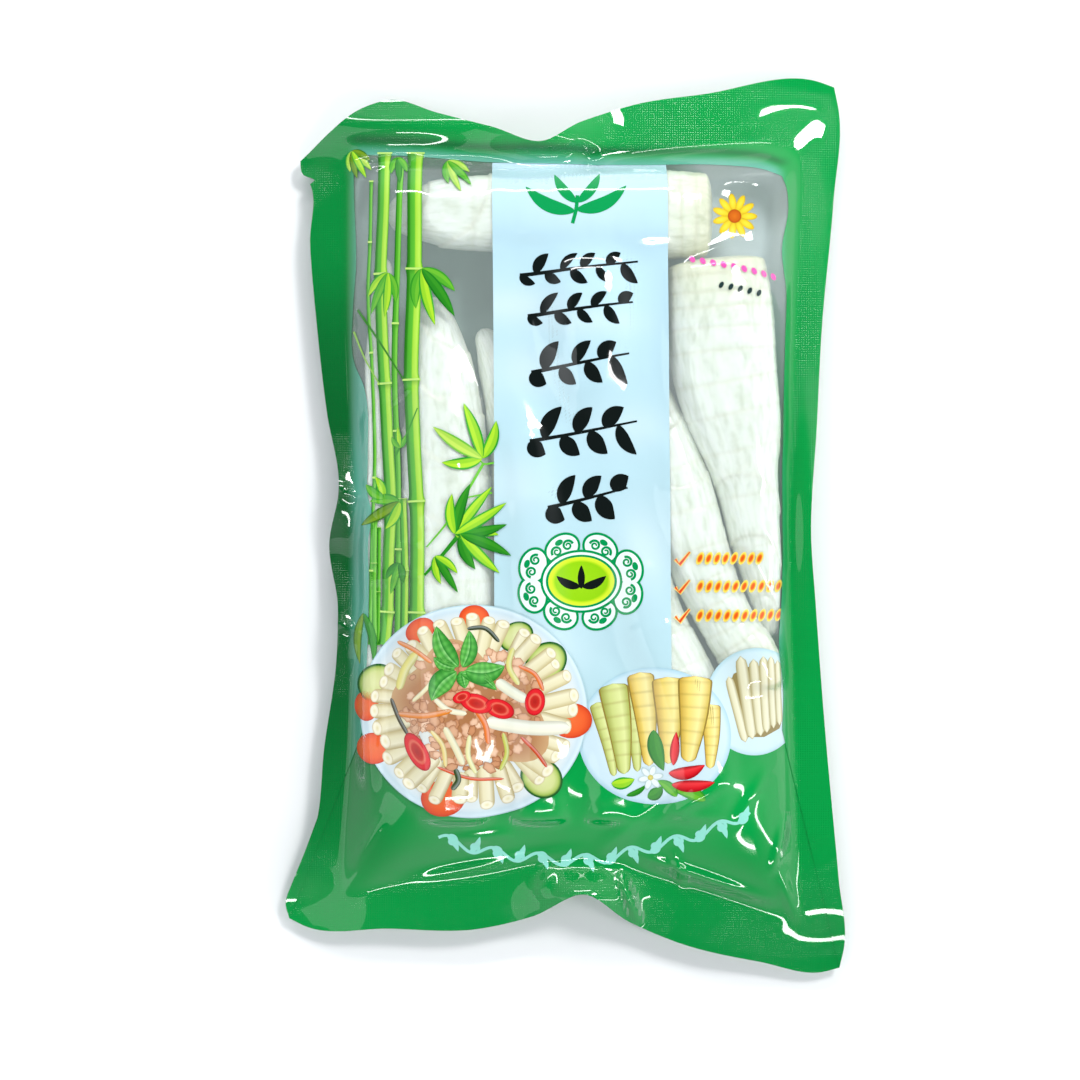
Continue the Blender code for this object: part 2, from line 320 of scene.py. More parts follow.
def finish_shoot_material(tree, shader):
    """Ivory flesh, tan near the base and in the grooves, with faint streaks along its fibres."""
    run = attribute_node(tree, "from_base")
    fibre_place = attribute_node(tree, "fibre_place")
    groove = attribute_node(tree, "groove")
    streaks = tree.nodes.new("ShaderNodeTexNoise")
    streaks.inputs["Scale"].default_value = 1.6
    streaks.inputs["Detail"].default_value = 6
    link(tree, fibre_place, "Vector", streaks, "Vector")
    flesh = colour_ramp(tree, [(0.25, srgb(212, 219, 200)), (0.5, srgb(237, 243, 232)),
                               (0.8, srgb(248, 251, 245))])
    link(tree, streaks, "Fac", flesh, "Fac")
    toward_base = colour_ramp(tree,
                              [(0.0, srgb(240, 234, 208)), (0.06, srgb(249, 247, 234)),
                               (0.16, srgb(255, 255, 255))])
    share = tree.nodes.new("ShaderNodeMath")
    share.operation = "DIVIDE"
    share.inputs[1].default_value = 120.0
    link(tree, run, "Fac", share, 0)
    link(tree, share, 0, toward_base, "Fac")
    based = blend_colours(tree, "MULTIPLY")
    based.inputs[0].default_value = 1.0
    link(tree, flesh, "Color", based, 6)
    link(tree, toward_base, "Color", based, 7)
    grooved = blend_colours(tree)
    groove_share = tree.nodes.new("ShaderNodeMath")
    groove_share.operation = "MULTIPLY"
    groove_share.inputs[1].default_value = 0.20
    link(tree, groove, "Fac", groove_share, 0)
    link(tree, groove_share, 0, grooved, 0)
    link(tree, based, 2, grooved, 6)
    grooved.inputs[7].default_value = srgb(196, 182, 138)
    link(tree, grooved, 2, shader, "Base Color")
    bump = tree.nodes.new("ShaderNodeBump")
    bump.inputs["Strength"].default_value = 0.2
    bump.inputs["Distance"].default_value = 0.0004
    link(tree, streaks, "Fac", bump, "Height")
    link(tree, bump, 0, shader, "Normal")


finish_shoot_material(shoot_tree, shoot_shader)

for shoot_seed, (node_name, stations) in enumerate(SHOOTS.items()):
    points, run, groove = shoot_surface(stations, shoot_seed, SHOOT_RINGS, SHOOT_SIDES)
    turn = np.broadcast_to(np.linspace(0, 2 * np.pi, SHOOT_SIDES)[None, :], run.shape)
    fibre_place = np.stack([0.12 * run + 40 * shoot_seed, 4 * np.cos(turn), 4 * np.sin(turn)], axis=-1)
    piece = mesh_piece(node_name.replace("shoot_", "peeled_shoot_"), points.reshape(-1, 3),
                       grid_faces(SHOOT_RINGS, SHOOT_SIDES), shoot_material,
                       {"from_base": run.ravel(), "fibre_place": fibre_place.reshape(-1, 3),
                        "groove": groove.ravel()}, closed=True)
    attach(piece, "root")
    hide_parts(node_name)


# ---------------------------------------------------------------------------
# Shape of the drawn-down films
# Two plastic films are welded along a broad border. Vacuum draws them tight on
# the shoots, so they dip between neighbours and crease near the welds. The
# weld itself buckles, most at the middle of the pouch's top and bottom ends.
# ---------------------------------------------------------------------------
WELD_HEIGHT = 8.0
FRONT_ROUND = (20, 15, 26, 15)          # wall width at left, right, bottom and top
BACK_ROUND = (7, 7, 9, 9)
ROUND_POWER = 2.2
LEFT_WELD = [(-110, -64), (-60, -60), (0, -59), (60, -61), (110, -61)]
RIGHT_WELD = [(-126, 66), (-60, 64), (0, 63), (60, 64.5), (126, 67)]
BOTTOM_WELD = [(-80, -108), (-60, -104), (-38, -97), (10, -95.5), (40, -102), (66, -110), (80, -113)]
TOP_WELD = [(-76, 104.5), (-40, 104.5), (0, 104), (40, 106), (78, 108)]
# Buckles of the weld: x, y, reach in x, reach in y and rise
BUCKLES = [(-6, 110, 15, 9, 11), (-45, 113, 24, 5, 4), (-75, 104, 9, 9, -3.5), (70, 122, 20, 10, -3),
           (-63, 10, 7, 12, 5), (-63, -28, 7, 13, 4), (-67, -6, 6, 8, -2.5), (6, -104, 13, 8, 9),
           (-76, -110, 14, 11, -4.5), (75, -122, 22, 13, -4.5), (70, 2, 7, 30, 3), (76, 92, 7, 22, -3)]
# Creases of the front film: start x, y, end x, y, half width and rise
CREASES = [(-52, -100, 8, -90, 2.2, 1.2), (15, -96, 21, -112, 1.3, 2.6), (20, -92, 60, -106, 1.8, 1.6),
           (7, -94, 30, -72, 2.6, 1.2), (22, -84, 46, -70, 2.0, 1.1), (-34, -88, -14, -86, 1.8, 0.9),
           (-60, -96, -50, -80, 1.5, 1.0), (58, -98, 62, -80, 1.4, 1.3), (66, -112, 60, -96, 1.6, 1.4),
           (46, -84, 58, -66, 1.6, 0.8), (-50, 34, -42, 40, 0.9, 0.8), (-50, -6, -40, -4, 0.9, 0.7),
           (-55, -15, -37, -13, 0.9, 0.9), (-62, 100, -40, 105, 1.6, 1.2), (2, 108, 12, 98, 2.2, -1.4),
           (20, 104, 62, 107, 1.5, 0.9), (-58, 62, -56, 52, 1.3, 0.8), (44, 97, 60, 95, 1.8, 0.6),
           (48, 70, 60, 60, 1.6, 0.4), (56, 72, 60, 96, 1.8, 0.5), (-60, -40, -56, -20, 1.4, 1.0),
           (-66, 12, -56, 8, 1.6, 1.2), (-66, -26, -56, -30, 1.6, 1.2), (-50, -66, -40, -80, 1.8, 0.6),
           (30, -90, 34, -102, 1.4, 1.0), (-20, 62, -34, 58, 1.4, 0.8), (-8, -104, -3, -95, 2.0, 1.0)]
LAY_STEP = 0.5
PLAN_REACH = (92.0, 140.0)


def weld_height(x, y):
    """Height of the middle of the weld: level, with a smooth hump at each buckle."""
    height = np.full(np.shape(x), WELD_HEIGHT)
    for at_x, at_y, reach_x, reach_y, rise in BUCKLES:
        height = height + rise * np.exp(-((x - at_x) / reach_x) ** 2 - ((y - at_y) / reach_y) ** 2)
    return height


def line_value(pairs, at):
    """Second value of the pairs where the first is at, on a smooth curve."""
    knots, values = zip(*pairs)
    return smooth_through(knots, values, at)


def openness(x, y, rounds):
    """0 in the weld, 1 where the pouch is fully open, rising over a rounded wall at each side."""
    insets = (x - line_value(LEFT_WELD, y), line_value(RIGHT_WELD, y) - x,
              y - line_value(BOTTOM_WELD, x), line_value(TOP_WELD, x) - y)
    result = np.ones(np.shape(x))
    for inset, width in zip(insets, rounds):
        result = result * (1 - (1 - np.clip(inset / width, 0, 1)) ** ROUND_POWER)
    return result


def creases(x, y, table):
    """Sum of the creases: each is a rounded ridge along a segment that fades to nothing at its ends."""
    height = np.zeros(np.shape(x))
    for start_x, start_y, end_x, end_y, half_width, rise in table:
        run_x, run_y = end_x - start_x, end_y - start_y
        length = np.hypot(run_x, run_y)
        part = ((x - start_x) * run_x + (y - start_y) * run_y) / length ** 2
        aside = ((x - start_x) * run_y - (y - start_y) * run_x) / length
        fade = np.clip(1 - (2 * part - 1) ** 2, 0, 1)
        height = height + rise * fade * np.exp(-(aside / half_width) ** 2)
    return height


def blurred(heights, radius):
    """Gaussian blur of a height map by a radius in millimetres, through its Fourier transform."""
    waves_x = np.fft.fftfreq(heights.shape[0], LAY_STEP)[:, None]
    waves_y = np.fft.fftfreq(heights.shape[1], LAY_STEP)[None, :]
    keep = np.exp(-2 * (np.pi * radius) ** 2 * (waves_x ** 2 + waves_y ** 2))
    return np.fft.ifft2(np.fft.fft2(heights) * keep).real


def shoot_shadow(upper):
    """Highest (or lowest) shoot surface over each place of the height map, and where there is none."""
    found = np.full(map_x.shape, 0.0 if upper else FULL_HALF_DEPTH)
    for seed, stations in enumerate(SHOOTS.values()):
        points = shoot_surface(stations, seed, 500, 320)[0].reshape(-1, 3)
        column = np.rint((points[:, 0] + PLAN_REACH[0]) / LAY_STEP).astype(int)
        row = np.rint((points[:, 1] + PLAN_REACH[1]) / LAY_STEP).astype(int)
        combine = np.maximum if upper else np.minimum
        combine.at(found, (column, row), points[:, 2])
    return found


map_x, map_y = np.meshgrid(np.arange(-PLAN_REACH[0], PLAN_REACH[0] + 0.01, LAY_STEP),
                           np.arange(-PLAN_REACH[1], PLAN_REACH[1] + 0.01, LAY_STEP), indexing="ij")
weld_map = weld_height(map_x, map_y)
shoot_tops = shoot_shadow(True)
SAG_FLOOR = 17.5
CLEARANCE = 0.3
stretched = blurred(np.maximum(shoot_tops, SAG_FLOOR), 5.0)
bridged = blurred(np.maximum(shoot_tops, stretched), 2.4)
roof = np.maximum(blurred(np.maximum(shoot_tops, bridged), 1.2), bridged) + CLEARANCE
front_map = weld_map + (roof - weld_map) * openness(map_x, map_y, FRONT_ROUND)
front_map = np.maximum(front_map, (shoot_tops + CLEARANCE) * (shoot_tops > 1))
front_map = blurred(front_map, 1.0) + creases(map_x, map_y, CREASES)
front_map = blurred(np.maximum(front_map, shoot_tops + 0.12), 0.5)
back_map = weld_map * (1 - openness(map_x, map_y, BACK_ROUND))
back_map = np.minimum(back_map, np.maximum(shoot_shadow(False) - CLEARANCE, 0.1))
back_map = np.minimum(blurred(back_map, 0.7), front_map - 0.25)


def read_map(heights, x, y):
    """Height at any place: cubic weights over the four nearest map points each way."""
    u = (np.asarray(x) + PLAN_REACH[0]) / LAY_STEP
    v = (np.asarray(y) + PLAN_REACH[1]) / LAY_STEP
    column, row = np.floor(u).astype(int), np.floor(v).astype(int)
    u, v = u - column, v - row

    def weights(t):
        return (-0.5 * t + t ** 2 - 0.5 * t ** 3, 1 - 2.5 * t ** 2 + 1.5 * t ** 3,
                0.5 * t + 2 * t ** 2 - 1.5 * t ** 3, -0.5 * t ** 2 + 0.5 * t ** 3)

    total = 0.0
    for i, weight_u in enumerate(weights(u)):
        for j, weight_v in enumerate(weights(v)):
            total = total + weight_u * weight_v * heights[column + i - 1, row + j - 1]
    return total


# Outline seen from the front, each side from the middle of one rounded corner to the next
BOTTOM_SIDE = [(-78.0, -110.8), (-74, -112.8), (-50, -113.2), (-24, -113.2), (-9, -109.5),
               (5.5, -102.6), (18, -111), (31, -116.8), (55, -122.8), (73, -126), (77.8, -124.8)]
TOP_SIDE = [(-74.8, 103.6), (-66, 111.4), (-57, 118), (-49, 120.4), (-36, 116.6), (-21, 112.4),
            (-6.5, 107.6), (5, 113.8), (19, 118.9), (39, 122.1), (72, 125.9), (76.2, 124.4)]
LEFT_SIDE = [(-78.0, -110.8), (-79, -107.2), (-76, -98.5), (-70.5, -85), (-67.8, -62), (-64, -34),
             (-63.8, -22), (-66.5, -5), (-63.4, 10.5), (-67, 32), (-70, 58), (-71.8, 80),
             (-72, 97), (-74.6, 101), (-74.8, 103.6)]
RIGHT_SIDE = [(77.8, -124.8), (79, -119.8), (77.2, -99), (73.6, -60), (70.6, -22), (69.2, -3),
              (71, 30), (72.6, 58), (76, 92), (77.3, 119), (76.2, 124.4)]
TEAR_NOTCH = (98.2, 1.3, 2.4)           # middle in y, half height and depth


def left_side(fractions):
    """The left side with its tear notch, a small V cut into the weld."""
    side = along(LEFT_SIDE, fractions)
    middle, half, depth = TEAR_NOTCH
    side[:, 0] += depth * np.clip(1 - np.abs(side[:, 1] - middle) / half, 0, 1)
    return side


def blended_plan(across, up, bottom, top, left, right):
    """Plan of a patch between four sides, each side's own shape fading towards the opposite one."""
    u, v = across[:, None, None], up[None, :, None]
    bottom, top = bottom[:, None, :], top[:, None, :]
    corners = ((1 - u) * (1 - v) * bottom[:1] + u * (1 - v) * bottom[-1:]
               + (1 - u) * v * top[:1] + u * v * top[-1:])
    return (1 - v) * bottom + v * top + (1 - u) * left[None] + u * right[None] - corners


def closer_at_ends(count, squeeze):
    """Fractions from 0 to 1 whose spacing shrinks towards both ends."""
    even = np.linspace(0, 1, count)
    return even - squeeze * np.sin(2 * np.pi * even) / (2 * np.pi)


FILM_ACROSS = 175
FILM_UP = 275
film_u = closer_at_ends(FILM_ACROSS, 0.4)
film_v = closer_at_ends(FILM_UP, 0.35)
film_plan = blended_plan(film_u, film_v, along(BOTTOM_SIDE, film_u), along(TOP_SIDE, film_u),
                         left_side(film_v), along(RIGHT_SIDE, film_v))
FILM_THICKNESS = 0.08


def film_piece(name, heights, material, outward, attributes=None):
    """One film over the whole outline, thickened outwards from its inner face."""
    plan = film_plan.reshape(-1, 2)
    points = np.column_stack([plan, read_map(heights, plan[:, 0], plan[:, 1])])
    faces = grid_faces(FILM_ACROSS, FILM_UP)
    piece = mesh_piece(name, points, faces if outward > 0 else faces[:, ::-1], material, attributes)
    wall = piece.modifiers.new("thickness", "SOLIDIFY")
    wall.thickness = FILM_THICKNESS * MM
    wall.offset = 1.0
    return piece


# ---------------------------------------------------------------------------
# Back film
# The film that the pouch lies on: milky laminate, printed green round its weld
# like the front, flat where it rests on the table. Its milky and green colours
# carry painted shade, darker towards the left.
# ---------------------------------------------------------------------------
def shader_group(name, inputs, output):
    """An empty node group with named inputs, each (name, kind, value), and one float output."""
    group = bpy.data.node_groups.new(name, "ShaderNodeTree")
    for title, kind, value in inputs:
        socket = group.interface.new_socket(name=title, in_out="INPUT", socket_type=kind)
        socket.default_value = value
    group.interface.new_socket(name=output, in_out="OUTPUT", socket_type="NodeSocketFloat")
    return group, group.nodes.new("NodeGroupInput"), group.nodes.new("NodeGroupOutput")


def math_node(tree, operation, first, second=None):
    """A math node on two values, each a number or a (node, socket) pair."""
    node = tree.nodes.new("ShaderNodeMath")
    node.operation = operation
    for place, value in enumerate((first, second)):
        if isinstance(value, tuple):
            link(tree, value[0], value[1], node, place)
        elif value is not None:
            node.inputs[place].default_value = value
    return node


def film_crinkle_group():
    """Height of the small sharp wrinkles of drawn-down film: ridged noise at the given size in metres."""
    group, start, end = shader_group("film_crinkle", [("Place", "NodeSocketVector", (0, 0, 0)),
                                                      ("Size", "NodeSocketFloat", 0.01)], "Height")
    shrink = group.nodes.new("ShaderNodeVectorMath")
    shrink.operation = "SCALE"
    link(group, start, "Place", shrink, 0)
    link(group, math_node(group, "DIVIDE", 1.0, (start, "Size")), 0, shrink, "Scale")
    noise = group.nodes.new("ShaderNodeTexNoise")
    noise.noise_type = "RIDGED_MULTIFRACTAL"
    noise.inputs["Scale"].default_value = 1.0
    noise.inputs["Detail"].default_value = 3.0
    noise.inputs["Roughness"].default_value = 0.45
    link(group, shrink, 0, noise, "Vector")
    link(group, noise, 0, end, "Height")
    return group


def weld_knurl_group():
    """Height of the weld's pressed dots: the product of two sine waves that cross at right angles."""
    group, start, end = shader_group("weld_knurl", [("Place", "NodeSocketVector", (0, 0, 0)),
                                                    ("Pitch", "NodeSocketFloat", 0.0013)], "Height")
    parts = group.nodes.new("ShaderNodeSeparateXYZ")
    link(group, start, "Place", parts, 0)
    turn = math_node(group, "DIVIDE", 2 * np.pi, (start, "Pitch"))
    rising_wave = math_node(group, "SINE", (math_node(group, "MULTIPLY", (turn, 0), (
        math_node(group, "ADD", (parts, "X"), (parts, "Y")), 0)), 0))
    falling_wave = math_node(group, "SINE", (math_node(group, "MULTIPLY", (turn, 0), (
        math_node(group, "SUBTRACT", (parts, "X"), (parts, "Y")), 0)), 0))
    link(group, math_node(group, "MULTIPLY", (rising_wave, 0), (falling_wave, 0)), 0, end, "Height")
    return group


def finish_film_relief(tree, shader, crinkle_size, crinkle_height, knurl_height):
    """Crinkles everywhere and pressed dots where the film is welded, as a bump in metres."""
    place = tree.nodes.new("ShaderNodeTexCoord")
    crinkle = tree.nodes.new("ShaderNodeGroup")
    crinkle.node_tree = FILM_CRINKLE
    crinkle.inputs["Size"].default_value = crinkle_size
    link(tree, place, "Object", crinkle, "Place")
    knurl = tree.nodes.new("ShaderNodeGroup")
    knurl.node_tree = WELD_KNURL
    link(tree, place, "Object", knurl, "Place")
    welded = attribute_node(tree, "welded")
    dots = math_node(tree, "MULTIPLY", (knurl, 0), (welded, "Fac"))
    dots = math_node(tree, "MULTIPLY", (dots, 0), knurl_height)
    folds = math_node(tree, "MULTIPLY", (crinkle, 0), crinkle_height)
    bump = tree.nodes.new("ShaderNodeBump")
    bump.inputs["Strength"].default_value = 1.0
    bump.inputs["Distance"].default_value = 1.0
    link(tree, math_node(tree, "ADD", (dots, 0), (folds, 0)), 0, bump, "Height")
    link(tree, bump, 0, shader, "Normal")


def rising(value, low, high):
    """0 below low and 1 above high, with a smooth rise between."""
    share = np.clip((value - low) / (high - low), 0, 1)
    return share * share * (3 - 2 * share)


INK_SHARE = 0.86                        # ink is this share of its look under the lamps


def ink(red, green, blue, cover=1.0):
    """Ink colour from its look under the lamps, with its cover from 0 to 1."""
    colour = np.array(srgb(red, green, blue))
    colour[:3] *= INK_SHARE
    colour[3] = cover
    return colour


def between(first, second, share):
    """Colours part of the way from the first to the second."""
    return first + (second - first) * np.asarray(share)[..., None]


# Painted light and shade on the green down the left and right borders: y and the lit share of the green
LEFT_GREEN_LIT_SHARE = [(-126, 0.80), (-105, 0.82), (-90, 0.60), (-60, 0.38), (-30, 0.24), (0, 0.24), (30, 0.30),
              (60, 0.45), (75, 0.62), (100, 0.64), (126, 0.74)]
RIGHT_GREEN_LIT_SHARE = [(-126, 0.66), (-105, 0.78), (-80, 0.86), (-40, 0.86), (0, 0.84), (55, 0.92), (100, 0.96),
               (126, 1.0)]
# Ends of the painted shading of the printed green: in full painted shade, and fully lit
SHADED_GREEN = ink(0, 26, 0)
LIT_GREEN = ink(0, 164, 72)


def green_ink_with_painted_shade(x, y):
    """The border's green, painted with light and shade: darkest at the middle of the left side, lighter to
    the right, at the ends and across the middle of the lower band.
    """
    left = line_value(LEFT_GREEN_LIT_SHARE, y)
    right = line_value(RIGHT_GREEN_LIT_SHARE, y)
    share = left + (right - left) * rising(x, -70, -10)
    share = share + 0.12 * rising(-np.abs(y + 78), -18, -2) * rising(x, -56, -46) * rising(-x, -58, -50)
    return between(SHADED_GREEN, LIT_GREEN, share)


FILM_CRINKLE = film_crinkle_group()
WELD_KNURL = weld_knurl_group()
back_material, back_tree, back_shader = new_material("milky_back_film", 0.25)
link(back_tree, attribute_node(back_tree, "ink"), "Color", back_shader, "Base Color")
finish_film_relief(back_tree, back_shader, 0.011, 0.0003, 0.00004)
plan_x, plan_y = film_plan[..., 0].ravel(), film_plan[..., 1].ravel()
back_open = openness(plan_x, plan_y, BACK_ROUND)
# Milky film colour, darkened towards the left as painted shade
milky_with_painted_shade = between(ink(160, 186, 180), ink(222, 240, 246), rising(plan_x, -20, 45))
back_piece = film_piece("back_film_sheet", back_map, back_material, -1,
                        {"ink": between(green_ink_with_painted_shade(plan_x, plan_y), milky_with_painted_shade, rising(back_open, 0.35, 0.6)),
                         "welded": 1 - rising(back_open, 0.0, 0.02)})
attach(back_piece, "root")
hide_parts("back_film")


# ---------------------------------------------------------------------------
# Front film
# Clear glossy film over the whole front, a little hazy, welded to the back
# film round its border and drawn down tight on the shoots.
# ---------------------------------------------------------------------------
front_material, front_tree, front_shader = new_material("clear_front_film", 0.1, coat=1.0,
                                                        coat_roughness=0.04)
front_shader.inputs["Base Color"].default_value = ink(225, 240, 236).tolist()
front_shader.inputs["Alpha"].default_value = 0.14
front_shader.inputs["Specular IOR Level"].default_value = 1.0
front_shader.inputs["Coat IOR"].default_value = 2.3
finish_film_relief(front_tree, front_shader, 0.009, 0.0004, 0.0)
front_piece = film_piece("clear_front_film", front_map, front_material, 1)
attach(front_piece, "root")
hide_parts("front_film")


# ---------------------------------------------------------------------------
# Printed border and lower band
# Green ink on the front film: round the weld on three sides, and a deep band
# across the lower end. It thins to teal at the top of the window. Painted shade
# darkens the green down the left side and along the fold above the window.
# ---------------------------------------------------------------------------
PRINT_LIFT = 0.10
LAYER_STEP = 0.03
print_material, print_tree, print_shader = new_material("printed_film", 0.11, coat=1.0, coat_roughness=0.03)
print_shader.inputs["Specular IOR Level"].default_value = 0.15
print_ink = attribute_node(print_tree, "ink")
link(print_tree, print_ink, "Color", print_shader, "Base Color")
link(print_tree, print_ink, "Alpha", print_shader, "Alpha")
finish_film_relief(print_tree, print_shader, 0.009, 0.0003, 0.00004)


PATCH_CELL = 0.75                       # small patches' cells are cut until none is longer than this
BROAD_CELL = 2.5                        # the border's fine grid is left as it is


def refined(grid, cuts, axis):
    """A grid with each step along an axis cut into equal shares, by straight interpolation."""
    count = grid.shape[axis]
    at = np.linspace(0, count - 1, (count - 1) * cuts + 1)
    low = np.minimum(at.astype(int), count - 2)
    share = (at - low).reshape([-1 if part == axis else 1 for part in range(grid.ndim)])
    return np.take(grid, low, axis) * (1 - share) + np.take(grid, low + 1, axis) * share


def printed_piece(name, patches, cell=PATCH_CELL):
    """One mesh of ink patches, each (plan grid, colours, layer), laid on the film and facing up."""
    points, colours, faces, first = [], [], [], 0
    for plan, colour, layer in patches:
        colour = np.broadcast_to(colour, (*plan.shape[:2], 4))
        for axis in (0, 1):
            longest = np.linalg.norm(np.diff(plan, axis=axis), axis=-1).max()
            cuts = int(np.ceil(longest / cell))
            plan, colour = refined(plan, cuts, axis), refined(colour, cuts, axis)
        count_u, count_v = plan.shape[:2]
        x, y = plan[..., 0], plan[..., 1]
        height = read_map(front_map, x, y) + PRINT_LIFT + LAYER_STEP * layer
        run, rise = plan[1:, :-1] - plan[:-1, :-1], plan[:-1, 1:] - plan[:-1, :-1]
        facing_up = np.sum(run[..., 0] * rise[..., 1] - run[..., 1] * rise[..., 0]) > 0
        cells = grid_faces(count_u, count_v, first)
        faces.append(cells if facing_up else cells[:, ::-1])
        points.append(np.stack([x, y, height], axis=-1).reshape(-1, 3))
        colours.append(colour.reshape(-1, 4))
        first += count_u * count_v
    points = np.concatenate(points)
    welded = 1 - rising(openness(points[:, 0], points[:, 1], FRONT_ROUND), 0.0, 0.03)
    piece = mesh_piece(name, points, np.concatenate(faces), print_material,
                       {"ink": np.concatenate(colours), "welded": welded}, merged=True)
    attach(piece, "root")
    return piece


def ruled_patch(first_line, second_line, count):
    """Plan of the straight lines between matching points of two lines."""
    share = np.linspace(0, 1, count)[None, :, None]
    return first_line[:, None, :] * (1 - share) + second_line[:, None, :] * share


LEFT_WINDOW = [(-56.5, -56.5), (-55.2, -31), (-54.9, -14), (-55, -3.4), (-54, 3.6), (-55.2, 9), (-55.2, 19),
               (-56.6, 40), (-59.2, 46), (-59.6, 62), (-58.8, 72), (-59.4, 95), (-59.6, 105)]
TOP_WINDOW = [(-59.6, 105), (-40, 104.2), (-21, 102.4), (20, 101.5), (45, 101.3), (55, 100.2), (60.8, 98.4)]
RIGHT_WINDOW = [(61, -57), (61.3, -46), (60, -36), (60.8, -20), (61, 20), (61.9, 55), (62.2, 65),
                (60.8, 78), (62.7, 90), (62.2, 95), (60.8, 98.4)]
BOTTOM_WINDOW = [(-56.5, -56.5), (-30, -60), (1.1, -61.9), (30, -62), (46, -60), (61, -57)]
up_steps = np.linspace(0, 1, 320)
across_steps = np.linspace(0, 1, 190)
window_line = np.concatenate([along(LEFT_WINDOW, up_steps), along(TOP_WINDOW, across_steps)[1:],
                              along(RIGHT_WINDOW, up_steps)[::-1][1:]])
outline = np.concatenate([left_side(up_steps), along(TOP_SIDE, across_steps)[1:],
                          along(RIGHT_SIDE, up_steps)[::-1][1:]])
border_plan = ruled_patch(window_line, outline, 44)
border_x, border_y = border_plan[..., 0], border_plan[..., 1]
# Printed green with painted shade, darkest down the left side, and a painted shadow in the fold above the
# window
border_ink_and_shade = green_ink_with_painted_shade(border_x, border_y)
inset = np.minimum(border_x + 59.5, 61 - border_x)
top_edge = line_value(TOP_WINDOW, border_x)
teal_share = rising(-(border_y - top_edge), -3.6, -0.2) * rising(inset, -2, 3)
border_ink_and_shade = between(border_ink_and_shade, ink(110, 196, 176, 0.75), 0.85 * teal_share)
fold_shade = np.exp(-((border_y - top_edge - 4.2) / 1.3) ** 2) * rising(inset, -4, 2)
border_ink_and_shade = between(border_ink_and_shade, ink(3, 70, 40), 0.6 * fold_shade)
printed_piece("green_border_print", [(border_plan, border_ink_and_shade, 9)], BROAD_CELL)

band_plan = ruled_patch(along(BOTTOM_WINDOW, across_steps), along(BOTTOM_SIDE, across_steps), 110)
# The band's printed green carries the same painted shade
band_ink_and_shade = green_ink_with_painted_shade(band_plan[..., 0], band_plan[..., 1])
printed_piece("green_band_print", [(band_plan, band_ink_and_shade, 1)])


# ---------------------------------------------------------------------------
# Label strip
# A pale blue printed strip down the middle of the window, with soft clouds.
# It runs from the top of the window down behind the pictures.
# ---------------------------------------------------------------------------
STRIP_LEFT = [(-66, -19.4), (-40, -19.6), (30, -19.8), (102.2, -20.4)]
STRIP_RIGHT = [(-66, 29.2), (-40, 29.4), (30, 29.0), (102.2, 28.3)]
STRIP_SKY = [(-66, 1.0), (-20, 0.85), (30, 0.55), (102.2, 0.0)]
# Clouds: x, y, reach in x, reach in y and strength
CLOUDS = [(-14, 62, 14, 5, 0.5), (6, 57, 16, 4, 0.35), (-10, 44, 10, 7, 0.4), (18, 28, 12, 6, 0.35),
          (-14, 12, 10, 8, 0.4), (22, -6, 9, 12, 0.45), (-10, -34, 16, 9, 0.5), (4, 92, 18, 8, 0.35)]
strip_y = np.linspace(-66, 102.2, 260)
strip_plan = ruled_patch(np.stack([line_value(STRIP_LEFT, strip_y), strip_y], axis=-1),
                         np.stack([line_value(STRIP_RIGHT, strip_y), strip_y], axis=-1), 70)
strip_x, strip_y = strip_plan[..., 0], strip_plan[..., 1]
strip_ink = between(ink(196, 232, 246), ink(186, 220, 228), line_value(STRIP_SKY, strip_y))
for at_x, at_y, reach_x, reach_y, strength in CLOUDS:
    cloud = np.exp(-((strip_x - at_x) / reach_x) ** 2 - ((strip_y - at_y) / reach_y) ** 2)
    strip_ink = between(strip_ink, ink(226, 244, 250), strength * cloud)
printed_piece("pale_label_strip", [(strip_plan, strip_ink, 0)])


# ---------------------------------------------------------------------------
# Bamboo culms
# Printed green bamboo stems up the left of the window, each a row of jointed
# lengths that are light on their left and dark on their right.
# ---------------------------------------------------------------------------
def ribbon(line, widths, shares=(-0.5, -0.25, 0.0, 0.25, 0.5)):
    """Plan of a band along a line: points square to it at the given shares of its width."""
    forward = np.gradient(line, axis=0)
    forward = forward / np.maximum(np.linalg.norm(forward, axis=1, keepdims=True), 1e-9)
    aside = np.stack([forward[:, 1], -forward[:, 0]], axis=1)
    reach = np.broadcast_to(widths, len(line))[:, None] * np.asarray(shares)[None, :]
    return line[:, None, :] + aside[:, None, :] * reach[..., None]


CULM_SHARES = (-0.5, -0.42, -0.34, -0.08, 0.0, 0.26, 0.34, 0.5)
CULM_TONES = np.array([ink(70, 160, 40), ink(150, 215, 60), ink(190, 235, 90), ink(168, 222, 66),
                       ink(96, 190, 52), ink(78, 172, 46), ink(44, 132, 24), ink(30, 110, 16)])
THIN_TONES = np.array([ink(60, 150, 30), ink(110, 196, 60), ink(130, 210, 80), ink(110, 196, 60),
                       ink(84, 176, 44), ink(70, 160, 36), ink(44, 132, 24), ink(30, 110, 16)])
